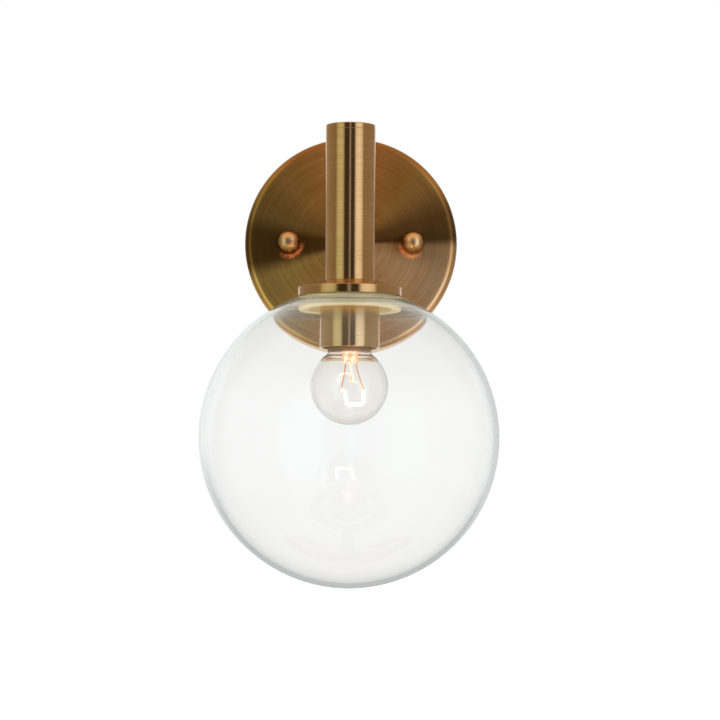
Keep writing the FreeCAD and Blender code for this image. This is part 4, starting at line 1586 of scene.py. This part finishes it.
@dataclass
class Studio:
    """Camera, soft lamps, pale floor and the plain surroundings that metal and glass mirror.

    Places and sizes are in metres, and the lens and the sensor in millimetres.
    """

    lens: float = 120.0
    sensor: float = 36.0
    camera_at: Point3 = (0.0061, -1.304, -0.1350)
    pitch: float = 3.225
    yaw: float = 0.04
    roll: float = 0.3
    floor_z: float = -0.30
    floor_size: float = 6.0
    floor_grain: float = 30.0
    floor_tones: Stops = ((0.3, (0.80, 0.80, 0.80)), (0.7, (0.84, 0.84, 0.84)))
    floor_lift: float = 0.45
    aim: Point3 = (0, -REACH * MM, -0.06)

    def build(self) -> None:
        """Set up the whole studio."""
        bpy.context.scene.view_settings.view_transform = "Standard"
        self.build_camera()
        self.build_world()
        self.build_floor()
        self.build_lamps()

    def build_camera(self) -> None:
        """Camera at the photograph's place and angle."""
        data = bpy.data.cameras.new("camera")
        data.lens = self.lens
        data.sensor_width = self.sensor
        made = new_object("camera", data)
        turn = Matrix.Identity(4)
        for degrees, axis in ((self.yaw, "Z"), (90 + self.pitch, "X"), (self.roll, "Z")):
            turn = turn @ Matrix.Rotation(math.radians(degrees), 4, axis)
        made.matrix_world = Matrix.Translation(self.camera_at) @ turn
        bpy.context.scene.camera = made

    def build_world(self) -> None:
        """White surroundings whose soft bands show only in mirrored light."""
        world = bpy.data.worlds.new("surroundings")
        bpy.context.scene.world = world
        graph = Graph(emptied(world))
        x, y, z = graph.split(graph.node("ShaderNodeTexCoord").outputs["Generated"])
        azimuth = graph.math("ARCTAN2", x, graph.times(y, -1.0))
        turn = graph.math("ADD", graph.math("DIVIDE", azimuth, math.tau), 0.5)
        bands = graph.ramp(turn, [(degrees / 360 + 0.5, colour) for degrees, colour in MIRROR_BANDS])
        # What metal mirrors: the bands near the horizon, warm tones far above and below it.
        high = graph.remap(graph.math("ABSOLUTE", z), 0.38, 0.80)
        steep = graph.remap(z, -0.55, -0.85)
        mirrored = graph.mix(high, bands, graph.mix(steep, (0.85, 0.62, 0.42), (0.30, 0.24, 0.16)))
        # What the glass mirrors: pale, but grey behind to the right and below, and darker far up.
        corner = graph.math("MAXIMUM", graph.remap(x, 0.0, 0.24, 0.0, 0.24), graph.remap(z, 0.0, -0.24, 0.0, 0.40))
        grey = graph.times(graph.remap(y, 0.5, 0.8), corner)
        glassy = graph.mix(grey, (0.93, 0.95, 0.94), (0.0, 0.0, 0.0))
        glassy = graph.mix(graph.remap(z, 0.30, 0.75), glassy, (0.30, 0.29, 0.22))
        through = graph.ramp(graph.math("ADD", graph.times(z, 0.5), 0.5), THROUGH_GLASS)
        # Which of them a ray sees depends on the surfaces that it has passed.
        path = graph.node("ShaderNodeLightPath").outputs
        bounced = graph.math("GREATER_THAN", path["Glossy Depth"], 0.5)
        depth = path["Transmission Depth"]
        off_wall = graph.math("MAXIMUM", graph.math("LESS_THAN", depth, 3.5), graph.math("COMPARE", depth, 6.0, 1.4))
        off_glass = graph.times(path["Is Singular Ray"], off_wall)
        seen = graph.mix(path["Is Transmission Ray"], (0.80, 0.80, 0.80), through)
        seen = graph.mix(bounced, seen, graph.mix(off_glass, mirrored, glassy))
        seen = graph.mix(path["Is Camera Ray"], seen, WHITE)
        back = graph.node("ShaderNodeBackground", {"Color": seen, "Strength": 1.0})
        graph.node("ShaderNodeOutputWorld", {0: back.outputs[0]})

    def build_floor(self) -> None:
        """Pale floor that keeps a soft shadow and reads white to the camera."""
        graph = MaterialGraph("floor_pale")
        pale = graph.ramp(graph.noise(graph.point, self.floor_grain, 4.0), self.floor_tones)
        viewed = graph.node("ShaderNodeLightPath").outputs["Is Camera Ray"]
        matt = graph.node("ShaderNodeBsdfDiffuse", {"Color": pale}).outputs[0]
        lift = graph.node("ShaderNodeEmission", {"Color": WHITE,
                                                 "Strength": graph.times(viewed, self.floor_lift)}).outputs[0]
        both = graph.node("ShaderNodeAddShader", {0: matt, 1: lift}).outputs[0]
        graph.node("ShaderNodeOutputMaterial", {0: both})
        bm = bmesh.new()
        bmesh.ops.create_grid(bm, x_segments=8, y_segments=8, size=self.floor_size)
        mesh = plain_mesh(bm, "floor")
        mesh.materials.append(graph.material)
        floor = new_object("floor", mesh)
        floor.location.z = self.floor_z
        floor.visible_glossy = False
        floor.visible_transmission = False

    def build_lamps(self) -> None:
        """Two broad lamps and a weak one from behind."""
        for name, at, size, power in LAMPS:
            data = bpy.data.lights.new(name, "AREA")
            data.size = size
            data.energy = power
            lamp = new_object(name, data)
            lamp.location = at
            lamp.rotation_euler = (Vector(self.aim) - Vector(at)).to_track_quat("-Z", "Y").to_euler()
            lamp.visible_glossy = False
            lamp.visible_transmission = False


def main() -> None:
    """Build every sub-assembly, then the studio."""
    logging.basicConfig(level=logging.INFO)
    shop = Workshop()
    for kind in (WallPlate, Arm, Stem, ShadeHolder, Globe, Bulb):
        kind(shop).build()
        LOG.info("%s built, %d pieces so far", kind.__name__, shop.count)
    Studio().build()


if __name__ == "__main__":
    main()
